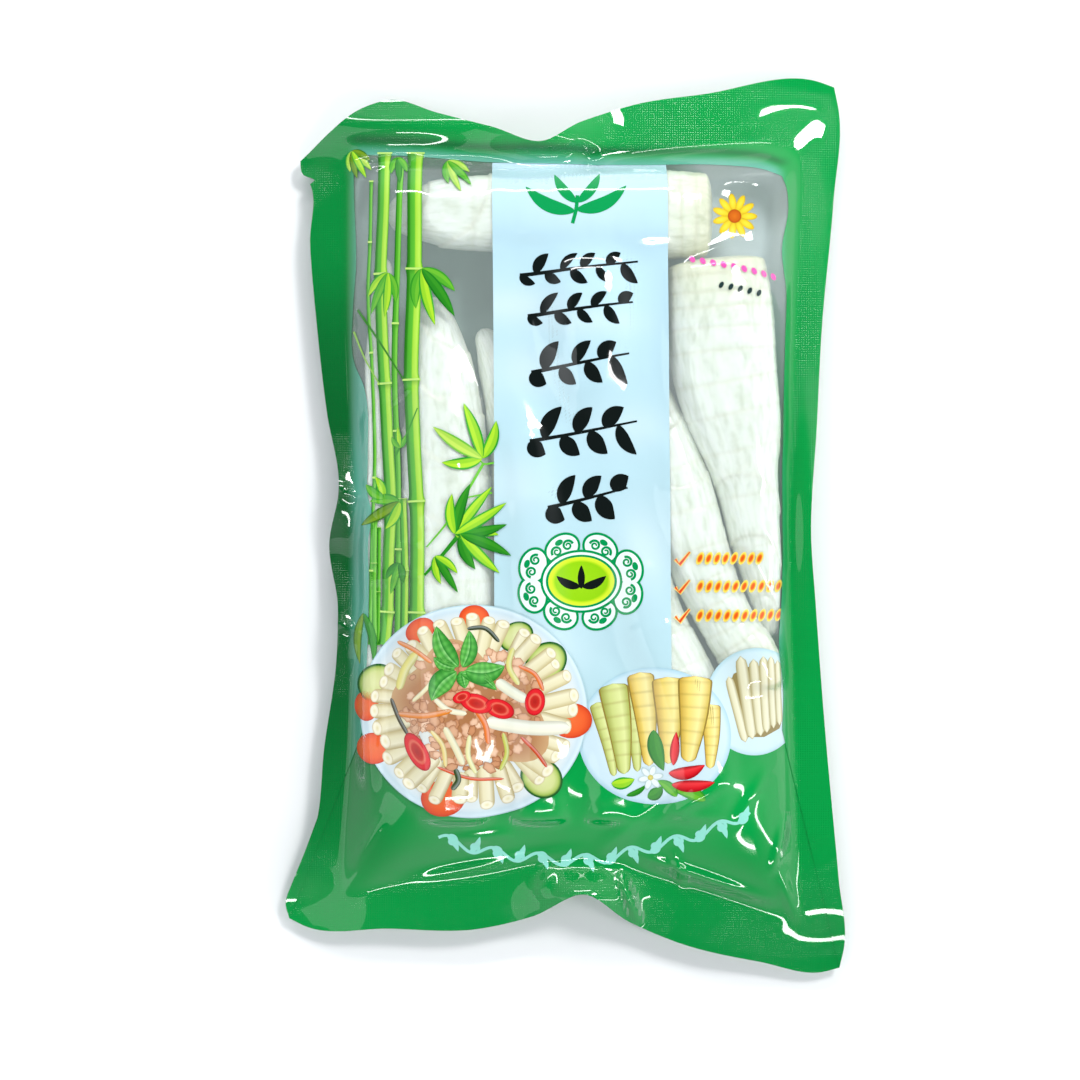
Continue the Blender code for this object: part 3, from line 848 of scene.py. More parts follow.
# Line down the stem, width, heights of its joints and layer
CULMS = [
    ([(-45.9, 102.8), (-46.8, 72.5), (-47.6, 43.7), (-46.5, 12.3), (-46.5, -9.2), (-46.8, -33)],
     1.7, (57, 27, -6), 10, THIN_TONES),
    ([(-54.3, 97.2), (-54.6, 80.4), (-55.2, 66.4), (-54, 44), (-53.2, 18.8), (-54, -3.6), (-54.6, -33)],
     1.0, (80, 49, 14, -12), 10, THIN_TONES),
    ([(-53.2, 2), (-53.4, -14), (-53.2, -33)], 1.5, (-10,), 10, THIN_TONES),
    ([(-51.9, 0), (-52.0, -14), (-52.2, -33)], 1.0, (-18,), 10, THIN_TONES),
    ([(-45.2, 8), (-44.6, -10), (-44.8, -33)], 2.2, (-12,), 10, CULM_TONES),
    ([(-50.7, 105.6), (-50.7, 91.6), (-51.5, 71.1), (-51.2, 55.2), (-50.4, 40.3), (-49.6, 24.4),
      (-48.7, 6.4), (-49.3, -9.2), (-49.6, -23.5), (-50.4, -33)], 3.4, (71, 40.3, 6.4, -23.5), 11,
      CULM_TONES),
    ([(-42, 105.6), (-42, 72.2), (-42.8, 41.2), (-42, 21.8), (-41.2, 7.3), (-41.2, -31)],
     4.1, (72.2, 41.2, 7.3, -23.5), 11, CULM_TONES),
]


def culm(points, width, joints, layer, tones):
    """Patches of one stem: it is cut at each joint and swells a little on both sides of the cut."""
    fine = along(points, np.linspace(0, 1, 400))
    cuts = [0.0] + [float(np.interp(-joint, -fine[:, 1], np.linspace(0, 1, 400))) for joint in joints] + [1.0]
    patches = []
    for start, end in zip(cuts[:-1], cuts[1:]):
        share = np.linspace(0, 1, 44)
        line = along(points, start + 0.003 + (end - start - 0.004) * share)
        length = np.linalg.norm(line[-1] - line[0])
        swell = np.exp(-(share * length / 1.3) ** 2) + np.exp(-((1 - share) * length / 0.9) ** 2)
        tone = between(tones[None, :, :], ink(34, 120, 20)[None, None, :],
                       np.broadcast_to(0.55 * np.exp(-(share * length / 1.0) ** 2)[:, None], (44, 8)))
        patches.append((ribbon(line, width * (1 + 0.16 * swell), CULM_SHARES), tone, layer))
        ring = along(points, start + np.array([-0.0008, 0.0012, 0.0032]))
        patches.append((ribbon(ring, width * 1.24), ink(196, 236, 120), layer + 0.5))
    return patches


printed_piece("bamboo_culms_print", [patch for row in CULMS for patch in culm(*row)])


# ---------------------------------------------------------------------------
# Bamboo leaves
# Printed leaves on thin stalks that hang from the culms and reach over the
# label strip: plain dark, plain light, or light with a darker edge.
# ---------------------------------------------------------------------------
LEAF_SHARES = (-0.5, -0.38, -0.32, -0.04, 0.04, 0.32, 0.38, 0.5)
LEAF_TONES = {
    "dark": np.array([ink(28, 130, 30)] * 2 + [ink(54, 150, 34)] * 2 + [ink(40, 138, 30)] * 2
                     + [ink(20, 112, 24)] * 2),
    "mid": np.array([ink(60, 160, 40)] * 2 + [ink(110, 190, 50)] * 2 + [ink(84, 176, 44)] * 2
                    + [ink(50, 150, 36)] * 2),
    "light": np.array([ink(60, 172, 50)] * 2 + [ink(178, 226, 50)] * 2 + [ink(150, 212, 44)] * 2
                      + [ink(44, 158, 44)] * 2),
    "pale": np.array([ink(120, 196, 70)] * 2 + [ink(196, 228, 96)] * 2 + [ink(170, 214, 80)] * 2
                     + [ink(110, 188, 60)] * 2),
    "olive": np.array([ink(60, 120, 20)] * 2 + [ink(120, 160, 30)] * 2 + [ink(100, 146, 26)] * 2
                      + [ink(52, 108, 18)] * 2),
}
# Sprays of leaves: base x, y, heading and spread in degrees, leaf count, length, width and tones
SPRAYS = [
    (-40.0, 72, -66, 64, 4, 17, 3.2, ("mid", "light", "dark")),
    (-49.4, 71, -104, 56, 4, 13, 2.5, ("light", "mid")),
    (-33.0, 103, -58, 56, 4, 11, 2.2, ("mid", "pale")),
    (-60.0, 106, -62, 66, 5, 9, 2.1, ("pale", "olive", "light")),
    (-47.0, 104, -84, 50, 3, 8, 2.0, ("mid", "dark")),
    (-23.0, 19, 128, 116, 4, 17, 3.4, ("light", "light", "pale")),
    (-30.5, -2, 42, 104, 6, 17, 3.0, ("light", "dark", "light")),
    (-29.0, -2, -34, 66, 4, 16, 3.2, ("dark", "light")),
    (-36.0, -8, -58, 40, 3, 12, 2.3, ("light", "dark")),
    (-46.0, 7, -150, 62, 3, 13, 3.2, ("mid", "olive", "light")),
    (-46.2, -10, -106, 48, 3, 9, 2.1, ("dark", "mid")), (-50.5, 8, 128, 30, 2, 10, 2.8, ("light", "mid")),
    (-56.5, -24, -86, 16, 2, 22, 2.4, ("olive", "dark")), (-46.0, 22, 96, 60, 3, 6, 1.6, ("mid", "light")),
]
# Stalk points, width and ink
STALKS = [
    ([(-58.2, 61), (-52, 52), (-45.1, 41.2)], 0.6, ink(50, 130, 30)),
    ([(-59.4, 55), (-56, 47), (-51.8, 39.8)], 0.5, ink(150, 200, 90)),
    ([(-22.7, 17.6), (-28, 8.4), (-33.6, 0), (-38.4, -5.6)], 0.7, ink(110, 196, 60)),
    ([(-20.3, 9.5), (-25, 8.6), (-28.8, 7.8)], 0.5, ink(110, 196, 60)),
    ([(-29, -1.7), (-33, -6.6), (-38.9, -13.3)], 1.1, ink(40, 140, 30)),
    ([(-26.6, -1), (-22, -0.6), (-19, 0.4)], 0.5, ink(60, 160, 50)),
    ([(-19.8, 17.8), (-22.7, 17.6), (-24.6, 20.4)], 0.5, ink(110, 196, 60)),
    ([(-47.2, 20), (-44, 26), (-41, 33)], 0.5, ink(60, 150, 40)),
]
LEAF_POINTS = 26


def leaf(base_x, base_y, tip_x, tip_y, width, bow, tones, layer, shares=LEAF_SHARES):
    """A leaf from base to tip: its middle line bows aside as half a sine wave, and its width
    rises as a power of the way out and falls as a power of the way left."""
    share = np.linspace(0, 1, LEAF_POINTS)
    start, run = np.array([base_x, base_y]), np.array([tip_x - base_x, tip_y - base_y])
    aside = np.array([run[1], -run[0]])
    line = start + share[:, None] * run + bow * np.sin(np.pi * share)[:, None] * aside
    widths = width * share ** 0.7 * (1 - share) ** 0.9 / 0.334
    return ribbon(line, widths, shares), tones, layer


stalk_share = np.linspace(0, 1, 24)
stalk_patches = [(ribbon(along(points, stalk_share), width * (1.15 - 0.5 * stalk_share)), tone, 12)
                 for points, width, tone in STALKS]


def spray(base_x, base_y, heading, spread, count, length, width, tones):
    """Leaves fanned evenly over the spread about the heading. The middle ones are longest, by a
    cosine, and each bows away from the heading."""
    patches = []
    for place in range(count):
        offset = place / (count - 1) - 0.5
        turn = np.radians(heading + spread * offset)
        reach = length * (0.66 + 0.34 * np.cos(np.pi * offset))
        patches.append(leaf(base_x, base_y, base_x + reach * np.cos(turn), base_y + reach * np.sin(turn),
                            width,
                            -0.16 * offset, LEAF_TONES[tones[place % len(tones)]], 12.6 + 0.4 * (place % 3)))
    return patches


leaf_patches = [patch for row in SPRAYS for patch in spray(*row)]
printed_piece("bamboo_leaves_print", stalk_patches + leaf_patches)


# ---------------------------------------------------------------------------
# Ink sprigs and sprout
# Brush-drawn leaf sprigs in black ink down the label strip, and a plain green
# sprout at its head. They carry no lettering.
# ---------------------------------------------------------------------------
BLACK_INK = ink(12, 20, 18)
SPROUT_GREEN = ink(10, 160, 84)
# Left, right, top and bottom of each sprig, and its number of leaves
SPRIGS = [(-12.6, 20.2, 76.5, 67.6, 9), (-10.4, 18.8, 65.2, 56.2, 8), (-9.4, 17.8, 52.0, 39.6, 7),
          (-9.8, 20.0, 33.6, 20.0, 7), (-4.8, 17.4, 15.0, 1.6, 6)]
FLAT_SHARES = (-0.5, -0.2, 0.2, 0.5)


def sprig(left, right, top, bottom, count, seed):
    """Patches of one sprig: a bowed stalk, with brush leaves that lean forward from it on both sides."""
    chance = np.random.default_rng(seed)
    height = top - bottom
    middle = 0.5 * (top + bottom)
    stalk = along([(left, middle - 0.22 * height), (0.5 * (left + right), middle - 0.02 * height),
                   (right, middle + 0.20 * height)], stalk_share)
    patches = [(ribbon(stalk, 1.1 - 0.6 * stalk_share, FLAT_SHARES), BLACK_INK, 3)]
    for place in range(count):
        share = (place + 0.25) / (count + 0.3)
        base = stalk[int(share * 23)]
        side = 1 if place % 2 else -1
        reach_x = (0.50 + 0.14 * chance.random()) * (right - left) / count * 2.0
        tip_y = (top if side > 0 else bottom) - side * 0.06 * height * chance.random()
        tip_x = min(base[0] + reach_x, right + 0.4)
        width = 0.30 * height * (0.9 + 0.3 * chance.random())
        patches.append(leaf(base[0], base[1], tip_x, tip_y, width, -0.10 * side, BLACK_INK,
                            3.4 + 0.3 * (place % 2), FLAT_SHARES))
    return patches


sprig_patches = [patch for seed, row in enumerate(SPRIGS) for patch in sprig(*row, seed)]
printed_piece("black_ink_sprigs", sprig_patches)

sprout_patches = [
    (ribbon(along([(2.0, 84.2), (3.0, 88.0), (3.4, 92.0)], stalk_share), 1.0, FLAT_SHARES), SPROUT_GREEN, 3),
    leaf(2.8, 87.6, -11.0, 94.6, 3.8, -0.12, SPROUT_GREEN, 3.4),
    leaf(3.0, 88.0, 17.0, 94.8, 3.8, 0.12, SPROUT_GREEN, 3.4),
    leaf(3.2, 90.0, -3.0, 98.2, 2.8, -0.08, SPROUT_GREEN, 3.7),
    leaf(3.4, 90.0, 9.6, 98.4, 2.8, 0.08, SPROUT_GREEN, 3.7),
]
printed_piece("green_sprout_print", sprout_patches)


# ---------------------------------------------------------------------------
# Medallion
# A printed green ornament of eight cloud-like lobes round a lime oval, which
# holds three plain leaves.
# ---------------------------------------------------------------------------
def shaded(share, stops):
    """Colours at each share between (share, colour) stops."""
    knots = [place for place, _ in stops]
    tones = np.array([tone for _, tone in stops])
    return np.stack([np.interp(share, knots, tones[:, part]) for part in range(4)], axis=-1)


def disc(centre, reach_x, reach_y, stops, layer, tilt=0.0, rings=14, sides=49, wobble=None):
    """An oval as rings round its centre, turned by tilt degrees and inked by its share of the
    radius. A wobble is added to the radius as two cosine waves round the oval."""
    share = np.linspace(0, 1, rings)[:, None]
    angle = np.linspace(0, 2 * np.pi, sides)[None, :]
    radius = share * np.ones_like(angle)
    if wobble is not None:
        radius = radius * (1 + 0.16 * np.cos(2 * angle + wobble) + 0.13 * np.cos(5 * angle + 3 * wobble))
    x, y = reach_x * radius * np.cos(angle), reach_y * radius * np.sin(angle)
    turn = np.radians(tilt)
    plan = np.stack([centre[0] + x * np.cos(turn) - y * np.sin(turn),
                     centre[1] + x * np.sin(turn) + y * np.cos(turn)], axis=-1)
    return plan, np.broadcast_to(shaded(share, stops), (rings, sides, 4)), layer


def curl(centre, radius, start, turns, width, tone, layer):
    """A spiral stroke whose radius shrinks evenly as it turns."""
    share = np.linspace(0, 1, 40)
    angle = np.radians(start) + 2 * np.pi * turns * share
    reach = radius * (1 - 0.78 * share)
    line = np.stack([centre[0] + reach * np.cos(angle), centre[1] + reach * np.sin(angle)], axis=-1)
    return ribbon(line, width * (1 - 0.4 * share), FLAT_SHARES), tone, layer


MEDALLION = (4.5, -15.1)
MEDALLION_GREEN = ink(0, 150, 80)
WHITE_INK = ink(236, 250, 252)
LOBES = [(-0.8, -6.0), (9.8, -6.0), (17.6, -11.4), (17.4, -19.2), (9.6, -24.4), (-1.2, -24.2), (-9.0, -18.8),
         (-8.8, -10.8)]
oval_solid = [(0, ink(158, 218, 24)), (0.82, ink(150, 214, 16)), (0.86, ink(214, 240, 40)),
              (1, ink(222, 244, 60))]
medallion_patches = []
for lobe_x, lobe_y in LOBES:
    out = np.degrees(np.arctan2(lobe_y - MEDALLION[1], lobe_x - MEDALLION[0]))
    medallion_patches.append(disc((lobe_x, lobe_y), 5.3, 4.2, [(0, MEDALLION_GREEN), (1, MEDALLION_GREEN)], 3,
                                  out - 90, rings=16))
    medallion_patches.append(disc((lobe_x, lobe_y), 4.6, 3.5, [(0, WHITE_INK), (1, WHITE_INK)], 3.4,
                                  out - 90))
    for hand in (-1, 1):
        turned = np.radians(out + hand * 90)
        eye = (lobe_x + 1.75 * np.cos(turned), lobe_y + 1.75 * np.sin(turned))
        medallion_patches.append(curl(eye, 1.5, out + hand * 100, -hand * 1.5, 0.75, MEDALLION_GREEN, 3.8))
    outer = (lobe_x + 1.9 * np.cos(np.radians(out)), lobe_y + 1.9 * np.sin(np.radians(out)))
    medallion_patches.append(disc(outer, 1.2, 0.8, [(0, MEDALLION_GREEN), (1, MEDALLION_GREEN)], 3.9,
                                  out - 90, rings=4, sides=17))
medallion_patches += [
    disc(MEDALLION, 11.4, 8.8, [(0, MEDALLION_GREEN), (1, MEDALLION_GREEN)], 4.2, rings=20, sides=97),
    disc(MEDALLION, 10.7, 8.1, [(0, WHITE_INK), (1, WHITE_INK)], 4.5, rings=20, sides=97),
    disc(MEDALLION, 9.9, 7.4, [(0, MEDALLION_GREEN), (1, MEDALLION_GREEN)], 4.8, rings=20, sides=97),
    disc(MEDALLION, 9.2, 6.8, oval_solid, 5.1, rings=20, sides=97),
    leaf(4.3, -16.6, -2.4, -13.6, 2.4, -0.1, BLACK_INK, 5.5, FLAT_SHARES),
    leaf(4.7, -16.6, 11.4, -13.6, 2.4, 0.1, BLACK_INK, 5.5, FLAT_SHARES),
    leaf(4.5, -17.2, 4.5, -10.6, 2.0, 0.0, BLACK_INK, 5.7, FLAT_SHARES),
]
printed_piece("cloud_medallion_print", medallion_patches)


# ---------------------------------------------------------------------------
# Picture of a dish
# A printed round plate: pale shoot batons set like spokes, with carrot and
# cucumber slices between, and minced meat, chilli and mint in the middle.
# ---------------------------------------------------------------------------
def baton(start, end, width, tones, layer, shares=FLAT_SHARES):
    """A rounded bar from start to end: its width falls to nothing as a high power towards both ends."""
    share = np.linspace(0, 1, 18)
    line = np.array(start) + share[:, None] * (np.array(end) - np.array(start))
    widths = width * np.sqrt(np.clip(1 - np.abs(2 * share - 1) ** 9, 0, 1))
    return ribbon(line, widths, shares), tones, layer


DISH = (-25.6, -51.2)
DISH_REACH = (31.9, 29.7)
dish_chance = np.random.default_rng(21)


def on_dish(degrees, share):
    """The place on the plate at an angle and a share of the way to its rim."""
    turn = np.radians(degrees)
    return (DISH[0] + DISH_REACH[0] * share * np.cos(turn), DISH[1] + DISH_REACH[1] * share * np.sin(turn))


plate_tones = [(0, ink(226, 226, 214)), (0.9, ink(222, 232, 234)), (0.95, ink(206, 226, 234)),
               (0.985, ink(220, 238, 246)), (1, ink(168, 206, 214))]
dish_patches = [disc(DISH, *DISH_REACH, plate_tones, 14, rings=60, sides=181)]
CARROT = [(0, ink(238, 112, 58)), (0.6, ink(240, 100, 48)), (0.9, ink(226, 80, 38)), (1, ink(200, 60, 30))]
CUCUMBER = [(0, ink(226, 230, 170)), (0.6, ink(214, 222, 150)), (0.84, ink(170, 196, 90)),
            (0.88, ink(40, 110, 40)),
            (1, ink(24, 84, 30))]
for at_x, at_y, reach_x, reach_y, tilt, tones in [
        (1.9, -53.8, 5.6, 4.8, 10, CARROT), (-53.5, -61.8, 5.0, 4.4, 0, CARROT),
        (-33.9, -75.2, 6.2, 5.2, 8, CARROT),
        (-25.2, -25.2, 4.2, 3.6, 0, CARROT), (-40.2, -28.6, 4.4, 3.2, 30, CARROT),
        (-55.6, -50.0, 3.6, 4.2, 0, CARROT),
        (-5.3, -37.4, 6.2, 5.2, 40, CUCUMBER), (-52.4, -43.6, 6.0, 5.4, 20, CUCUMBER),
        (-6.6, -69.6, 6.2, 5.4, -40, CUCUMBER), (-13.6, -30.4, 5.0, 4.0, 30, CUCUMBER)]:
    dish_patches.append(disc((at_x, at_y), reach_x, reach_y, tones, 14.6, tilt))
BATON_TONES = np.array([ink(176, 156, 104), ink(244, 238, 208), ink(236, 228, 190), ink(196, 178, 128)])
for place in range(36):
    degrees = place * 10.0 + dish_chance.uniform(-2.2, 2.2)
    inner, outer = dish_chance.uniform(0.50, 0.58), dish_chance.uniform(0.84, 0.93)
    shade = dish_chance.uniform(0.0, 0.28)
    tones = between(BATON_TONES, ink(214, 206, 150), np.full(4, shade))
    lean = dish_chance.uniform(-5, 5)
    width = dish_chance.uniform(3.8, 4.9)
    layer = 15.0 + 0.35 * (place % 3)
    dish_patches.append(baton(on_dish(degrees + lean, inner), on_dish(degrees, outer), width, tones, layer))
    dish_patches.append(disc(on_dish(degrees, outer - 0.035), 0.44 * width, 0.30 * width,
                             [(0, ink(236, 226, 176)), (0.7, ink(252, 248, 228)), (1, ink(206, 190, 140))],
                             layer + 0.2, degrees - 90, rings=5, sides=17))
dish_patches.append(disc((-25.4, -49.6), 19.0, 17.0, [(0, ink(168, 112, 70)), (0.8, ink(186, 132, 88)),
                                                      (1, ink(206, 166, 120))], 16.3, wobble=1.1,
                                                      rings=20, sides=73))
for place in range(230):
    degrees, share = dish_chance.uniform(0, 360), 0.60 * np.sqrt(dish_chance.random())
    at = on_dish(degrees, share)
    light = dish_chance.uniform(0, 1)
    size = dish_chance.uniform(0.9, 2.0)
    middle_tone = between(ink(206, 144, 100), ink(246, 208, 176), light)
    edge_tone = between(ink(140, 84, 50), ink(200, 142, 102), light)
    dish_patches.append(disc((at[0], at[1] + 1.6), size, 0.8 * size, [(0, middle_tone), (0.6, middle_tone),
                        (1, edge_tone)], 16.6 + 0.02 * (place % 20), place * 37.0, rings=4, sides=13,
                        wobble=place))
# Strips on the dish: points, width and ink
DISH_STRIPS = [
    ([(-41, -34.6), (-44.4, -39.4), (-46.4, -45.3)], 2.5, ink(236, 226, 130)),
    ([(-19.1, -42.6), (-14.6, -45.8), (-10.6, -48)], 3.0, ink(240, 240, 214)),
    ([(-22.2, -53.8), (-10, -55.6), (1.4, -55.6)], 4.0, ink(244, 242, 220)),
    ([(-24.9, -50.2), (-22.2, -54.6), (-21.3, -60.1)], 1.6, ink(232, 120, 40)),
    ([(-46.8, -52), (-38.8, -52.2), (-31.2, -50.7)], 1.6, ink(236, 140, 50)),
    ([(-35.6, -66.3), (-26, -69.6), (-16.9, -69.9)], 0.9, ink(226, 90, 40)),
    ([(-33.4, -55.2), (-30.4, -60.8), (-28.1, -65.8)], 2.0, ink(240, 232, 190)),
    ([(-27.2, -28.1), (-22.4, -28.0), (-18.2, -31.9)], 1.2, ink(50, 60, 26)),
    ([(-48.6, -47.6), (-46.2, -53.4), (-43.6, -57.8)], 1.2, ink(70, 60, 30)),
    ([(-14.4, -33.4), (-15.6, -38.4), (-12.8, -43.8)], 1.6, ink(228, 224, 130)),
    ([(-46.8, -31.8), (-41.6, -34.2), (-36.8, -37.6)], 1.3, ink(238, 140, 60)),
    ([(-42.4, -48.4), (-38.4, -44.6), (-35.4, -40.4)], 1.2, ink(244, 232, 180)),
    ([(-36.2, -47.4), (-32.6, -50.4), (-27.2, -51.6)], 1.6, ink(246, 238, 204)),
    ([(-37.2, -56.2), (-34.0, -60.2), (-33.0, -66.4)], 1.3, ink(238, 216, 140)),
    ([(-26.4, -57.4), (-26.8, -63.2), (-24.6, -68.4)], 1.4, ink(236, 232, 170)),
    ([(-17.2, -57.0), (-16.2, -62.8), (-18.0, -67.6)], 1.3, ink(206, 210, 96)),
    ([(-12.4, -58.0), (-8.0, -62.4), (-5.0, -66.6)], 1.1, ink(214, 80, 40)),
    ([(-13.0, -38.4), (-8.4, -40.8), (-6.0, -45.4)], 1.2, ink(236, 120, 50)),
    ([(-30.4, -66.8), (-29.6, -70.0), (-31.4, -72.8)], 1.6, ink(60, 80, 40)),
]
for place, (points, width, tone) in enumerate(DISH_STRIPS):
    tones = np.array([between(tone, BLACK_INK, 0.35), between(tone, WHITE_INK, 0.25), tone,
                      between(tone, BLACK_INK, 0.25)])
    line = along(points, stalk_share)
    widths = width * np.sqrt(np.clip(1 - np.abs(2 * stalk_share - 1) ** 7, 0, 1))
    dish_patches.append((ribbon(line, widths, FLAT_SHARES), tones, 17.4 + 0.1 * (place % 4)))
CHILLI_SLICE = [(0, ink(176, 34, 28)), (0.44, ink(206, 44, 36)), (0.56, ink(240, 122, 96)),
                (0.68, ink(226, 38, 44)),
                (0.88, ink(232, 34, 44)), (1, ink(164, 12, 26))]
for at_x, at_y, reach_x, reach_y, tilt in [(-24.6, -48.8, 4.6, 2.6, -18), (-18.2, -50.4, 4.2, 2.6, -20),
                                           (-41.0, -62.3, 5.8, 2.8, -60), (-8.4, -48.4, 2.8, 3.8, -8),
                                           (-28.6, -47.0, 2.6, 1.6, 20)]:
    dish_patches.append(disc((at_x, at_y), reach_x, reach_y, CHILLI_SLICE, 18.0, tilt))
MINT_SHARES = (-0.5, -0.34, -0.18, -0.02, 0.02, 0.18, 0.34, 0.5)
MINT_TONES = np.array([ink(60, 150, 50), ink(120, 205, 96), ink(84, 176, 70), ink(150, 224, 130),
                       ink(50, 140, 50), ink(100, 190, 84), ink(70, 164, 60), ink(40, 124, 40)])
mint_share = np.linspace(0, 1, LEAF_POINTS)
mint_rows = (0.5 + 0.5 * np.cos(2 * np.pi * 6 * mint_share))[:, None] * np.ones(8)[None, :]
mint_ink = between(MINT_TONES[None], ink(30, 110, 40), 0.4 * mint_rows)
for base_x, base_y, tip_x, tip_y, width, bow in [
        (-29.5, -38.6, -35.6, -27.4, 5.6, -0.1), (-28.4, -38.8, -26.6, -28.6, 4.6, 0.1),
        (-27.6, -39.6, -16.8, -38.6, 6.2, 0.12), (-28.8, -40.4, -19.0, -45.2, 4.0, -0.1),
        (-30.0, -40.0, -37.0, -48.0, 6.2, 0.12), (-30.4, -38.8, -36.4, -36.0, 3.6, -0.1),
        (-28.8, -39.8, -27.6, -44.6, 3.6, 0.0)]:
    dish_patches.append(leaf(base_x, base_y, tip_x, tip_y, width, bow, mint_ink,
                             18.6 + 0.1 * (tip_x + 40) / 10,
                             MINT_SHARES))
printed_piece("dish_picture_print", dish_patches)


# ---------------------------------------------------------------------------
# Picture of shoots and chillies
# A printed pale disc with a row of whole yellow shoots, tips down, and red
# chillies, green leaves and a white flower in front of them.
# ---------------------------------------------------------------------------
SHOOT_PICTURE = (24.8, -58.0)
picture_patches = [disc(SHOOT_PICTURE, 21.2, 19.1, [(0, ink(222, 238, 244)), (0.93, ink(208, 232, 242)),
                                                    (1, ink(172, 212, 226))], 3, rings=44, sides=141)]
PALE_SHOOT = (ink(176, 186, 92), ink(226, 234, 160), ink(206, 216, 132), ink(160, 166, 76))
WARM_SHOOT = (ink(214, 186, 84), ink(252, 238, 160), ink(244, 218, 116), ink(206, 168, 66))
# Top x, y, tip x, y, width and tones, from the back of the row to its front
PICTURED_SHOOTS = [
    (8.8, -48.7, 13.6, -69.2, 4.2, PALE_SHOOT), (17.5, -45.1, 20.1, -68, 4.6, PALE_SHOOT),
    (40.2, -49.1, 40.0, -66.8, 5.2, WARM_SHOOT), (13.2, -43.5, 16.4, -68.6, 7.6, PALE_SHOOT),
    (20.7, -40.3, 23.3, -66.4, 6.8, WARM_SHOOT), (28.3, -41.5, 28.5, -65.6, 8.0, WARM_SHOOT),
    (36.1, -41.3, 33.9, -65.0, 8.8, WARM_SHOOT),
]
shoot_share = np.linspace(0, 1, 48)
shoot_ring = np.exp(-(((shoot_share * 7.0) % 1 - 0.5) / 0.09) ** 2) * (1 - rising(shoot_share, 0.75, 0.9))
for place, (top_x, top_y, tip_x, tip_y, width, tones) in enumerate(PICTURED_SHOOTS):
    line = along([(top_x, top_y), (0.5 * (top_x + tip_x) + 0.4, 0.5 * (top_y + tip_y)), (tip_x, tip_y)],
                 shoot_share)
    round_ends = np.sqrt(np.clip(1 - np.clip(1 - shoot_share / 0.06, 0, 1) ** 2, 0, 1))
    widths = (width * round_ends * (1 - 0.62 * shoot_share ** 1.5)
              * np.clip((1 - shoot_share) / 0.05, 0, 1) ** 0.5)
    tones = between(np.array(tones)[None], ink(150, 126, 50), 0.34 * shoot_ring[:, None] * np.ones(4))
    picture_patches.append((ribbon(line, widths * 1.12, FLAT_SHARES), ink(150, 128, 56), 3.6 + 0.25 * place))
    picture_patches.append((ribbon(line, widths, FLAT_SHARES), tones, 3.72 + 0.25 * place))
RED_CHILLI = np.array([ink(150, 10, 20), ink(246, 60, 66), ink(222, 24, 36), ink(150, 8, 18)])
for base_x, base_y, tip_x, tip_y, width, bow, tones in [
        (24.5, -56.3, 27.3, -67.6, 4.4, 0.06, LEAF_TONES["dark"]),
        (12.8, -71.2, 19.3, -70, 3.4, 0.08, LEAF_TONES["light"]),
        (22.9, -75.2, 26.9, -72, 3.4, 0.1, LEAF_TONES["dark"]),
        (38.8, -75.8, 29.5, -72.8, 3.8, 0.1, LEAF_TONES["mid"]),
        (17.0, -74.6, 22.6, -71.6, 1.6, 0.1, LEAF_TONES["dark"]),
        (30.9, -74.8, 25.6, -70.4, 3.0, 0.1, LEAF_TONES["mid"])]:
    picture_patches.append(leaf(base_x, base_y, tip_x, tip_y, width, bow, tones, 5.8))
for base_x, base_y, tip_x, tip_y, width, bow in [(29.9, -66.0, 30.7, -56.6, 2.6, 0.0),
                                                 (28.6, -68.2, 38.6, -65.8, 3.6, 0.1),
                                                 (29.4, -71.4, 41.4, -70.6, 3.4, 0.06)]:
    picture_patches.append(leaf(base_x, base_y, tip_x, tip_y, width, bow, RED_CHILLI, 6.2, FLAT_SHARES))
for turn in range(6):
    degrees = 60.0 * turn + 12
    at = (23.7 + 1.9 * np.cos(np.radians(degrees)), -69.6 + 1.9 * np.sin(np.radians(degrees)))
    picture_patches.append(disc(at, 1.7, 0.9, [(0, ink(240, 248, 250)), (0.7, ink(236, 246, 250)),
                                               (1, ink(176, 206, 200))], 6.6, degrees, rings=4, sides=17))
picture_patches.append(disc((23.7, -69.6), 0.8, 0.8, [(0, ink(236, 220, 120)), (1, ink(200, 190, 90))], 6.9,
                            rings=4, sides=13))
printed_piece("shoots_picture_print", picture_patches)


# ---------------------------------------------------------------------------
# Picture of shoot strips
# A smaller printed disc at the right edge of the window with a bunch of long
# cream strips. The border print covers its right edge.
# ---------------------------------------------------------------------------
strips_patches = [disc((53.2, -48.6), 14.4, 15.0, [(0, ink(216, 234, 236)), (0.92, ink(206, 230, 236)),
                                                   (1, ink(178, 214, 222))], 2, rings=36, sides=101),
                  baton((51.4, -38.6), (55.6, -58.6), 12.0, ink(150, 134, 84), 2.6)]
STRIP_TONES = np.array([ink(176, 164, 112), ink(238, 236, 208), ink(226, 222, 186), ink(168, 156, 104)])
for top_x, top_y, end_x, end_y, width in [(45.4, -41.5, 50.2, -59.9, 2.6), (48.6, -35.8, 52.2, -59.1, 3.4),
                                          (52.2, -36.6, 54.6, -58.3, 3.0), (55.0, -35.8, 56.4, -57.5, 2.7),
                                          (57.2, -35.8, 58.4, -56.3, 2.2), (59.2, -37.0, 60.2, -55.5, 2.0)]:
    strips_patches.append(baton((top_x, top_y), (end_x, end_y), width, STRIP_TONES,
                                3.2 + 0.05 * (top_x - 45)))
printed_piece("strips_picture_print", strips_patches)


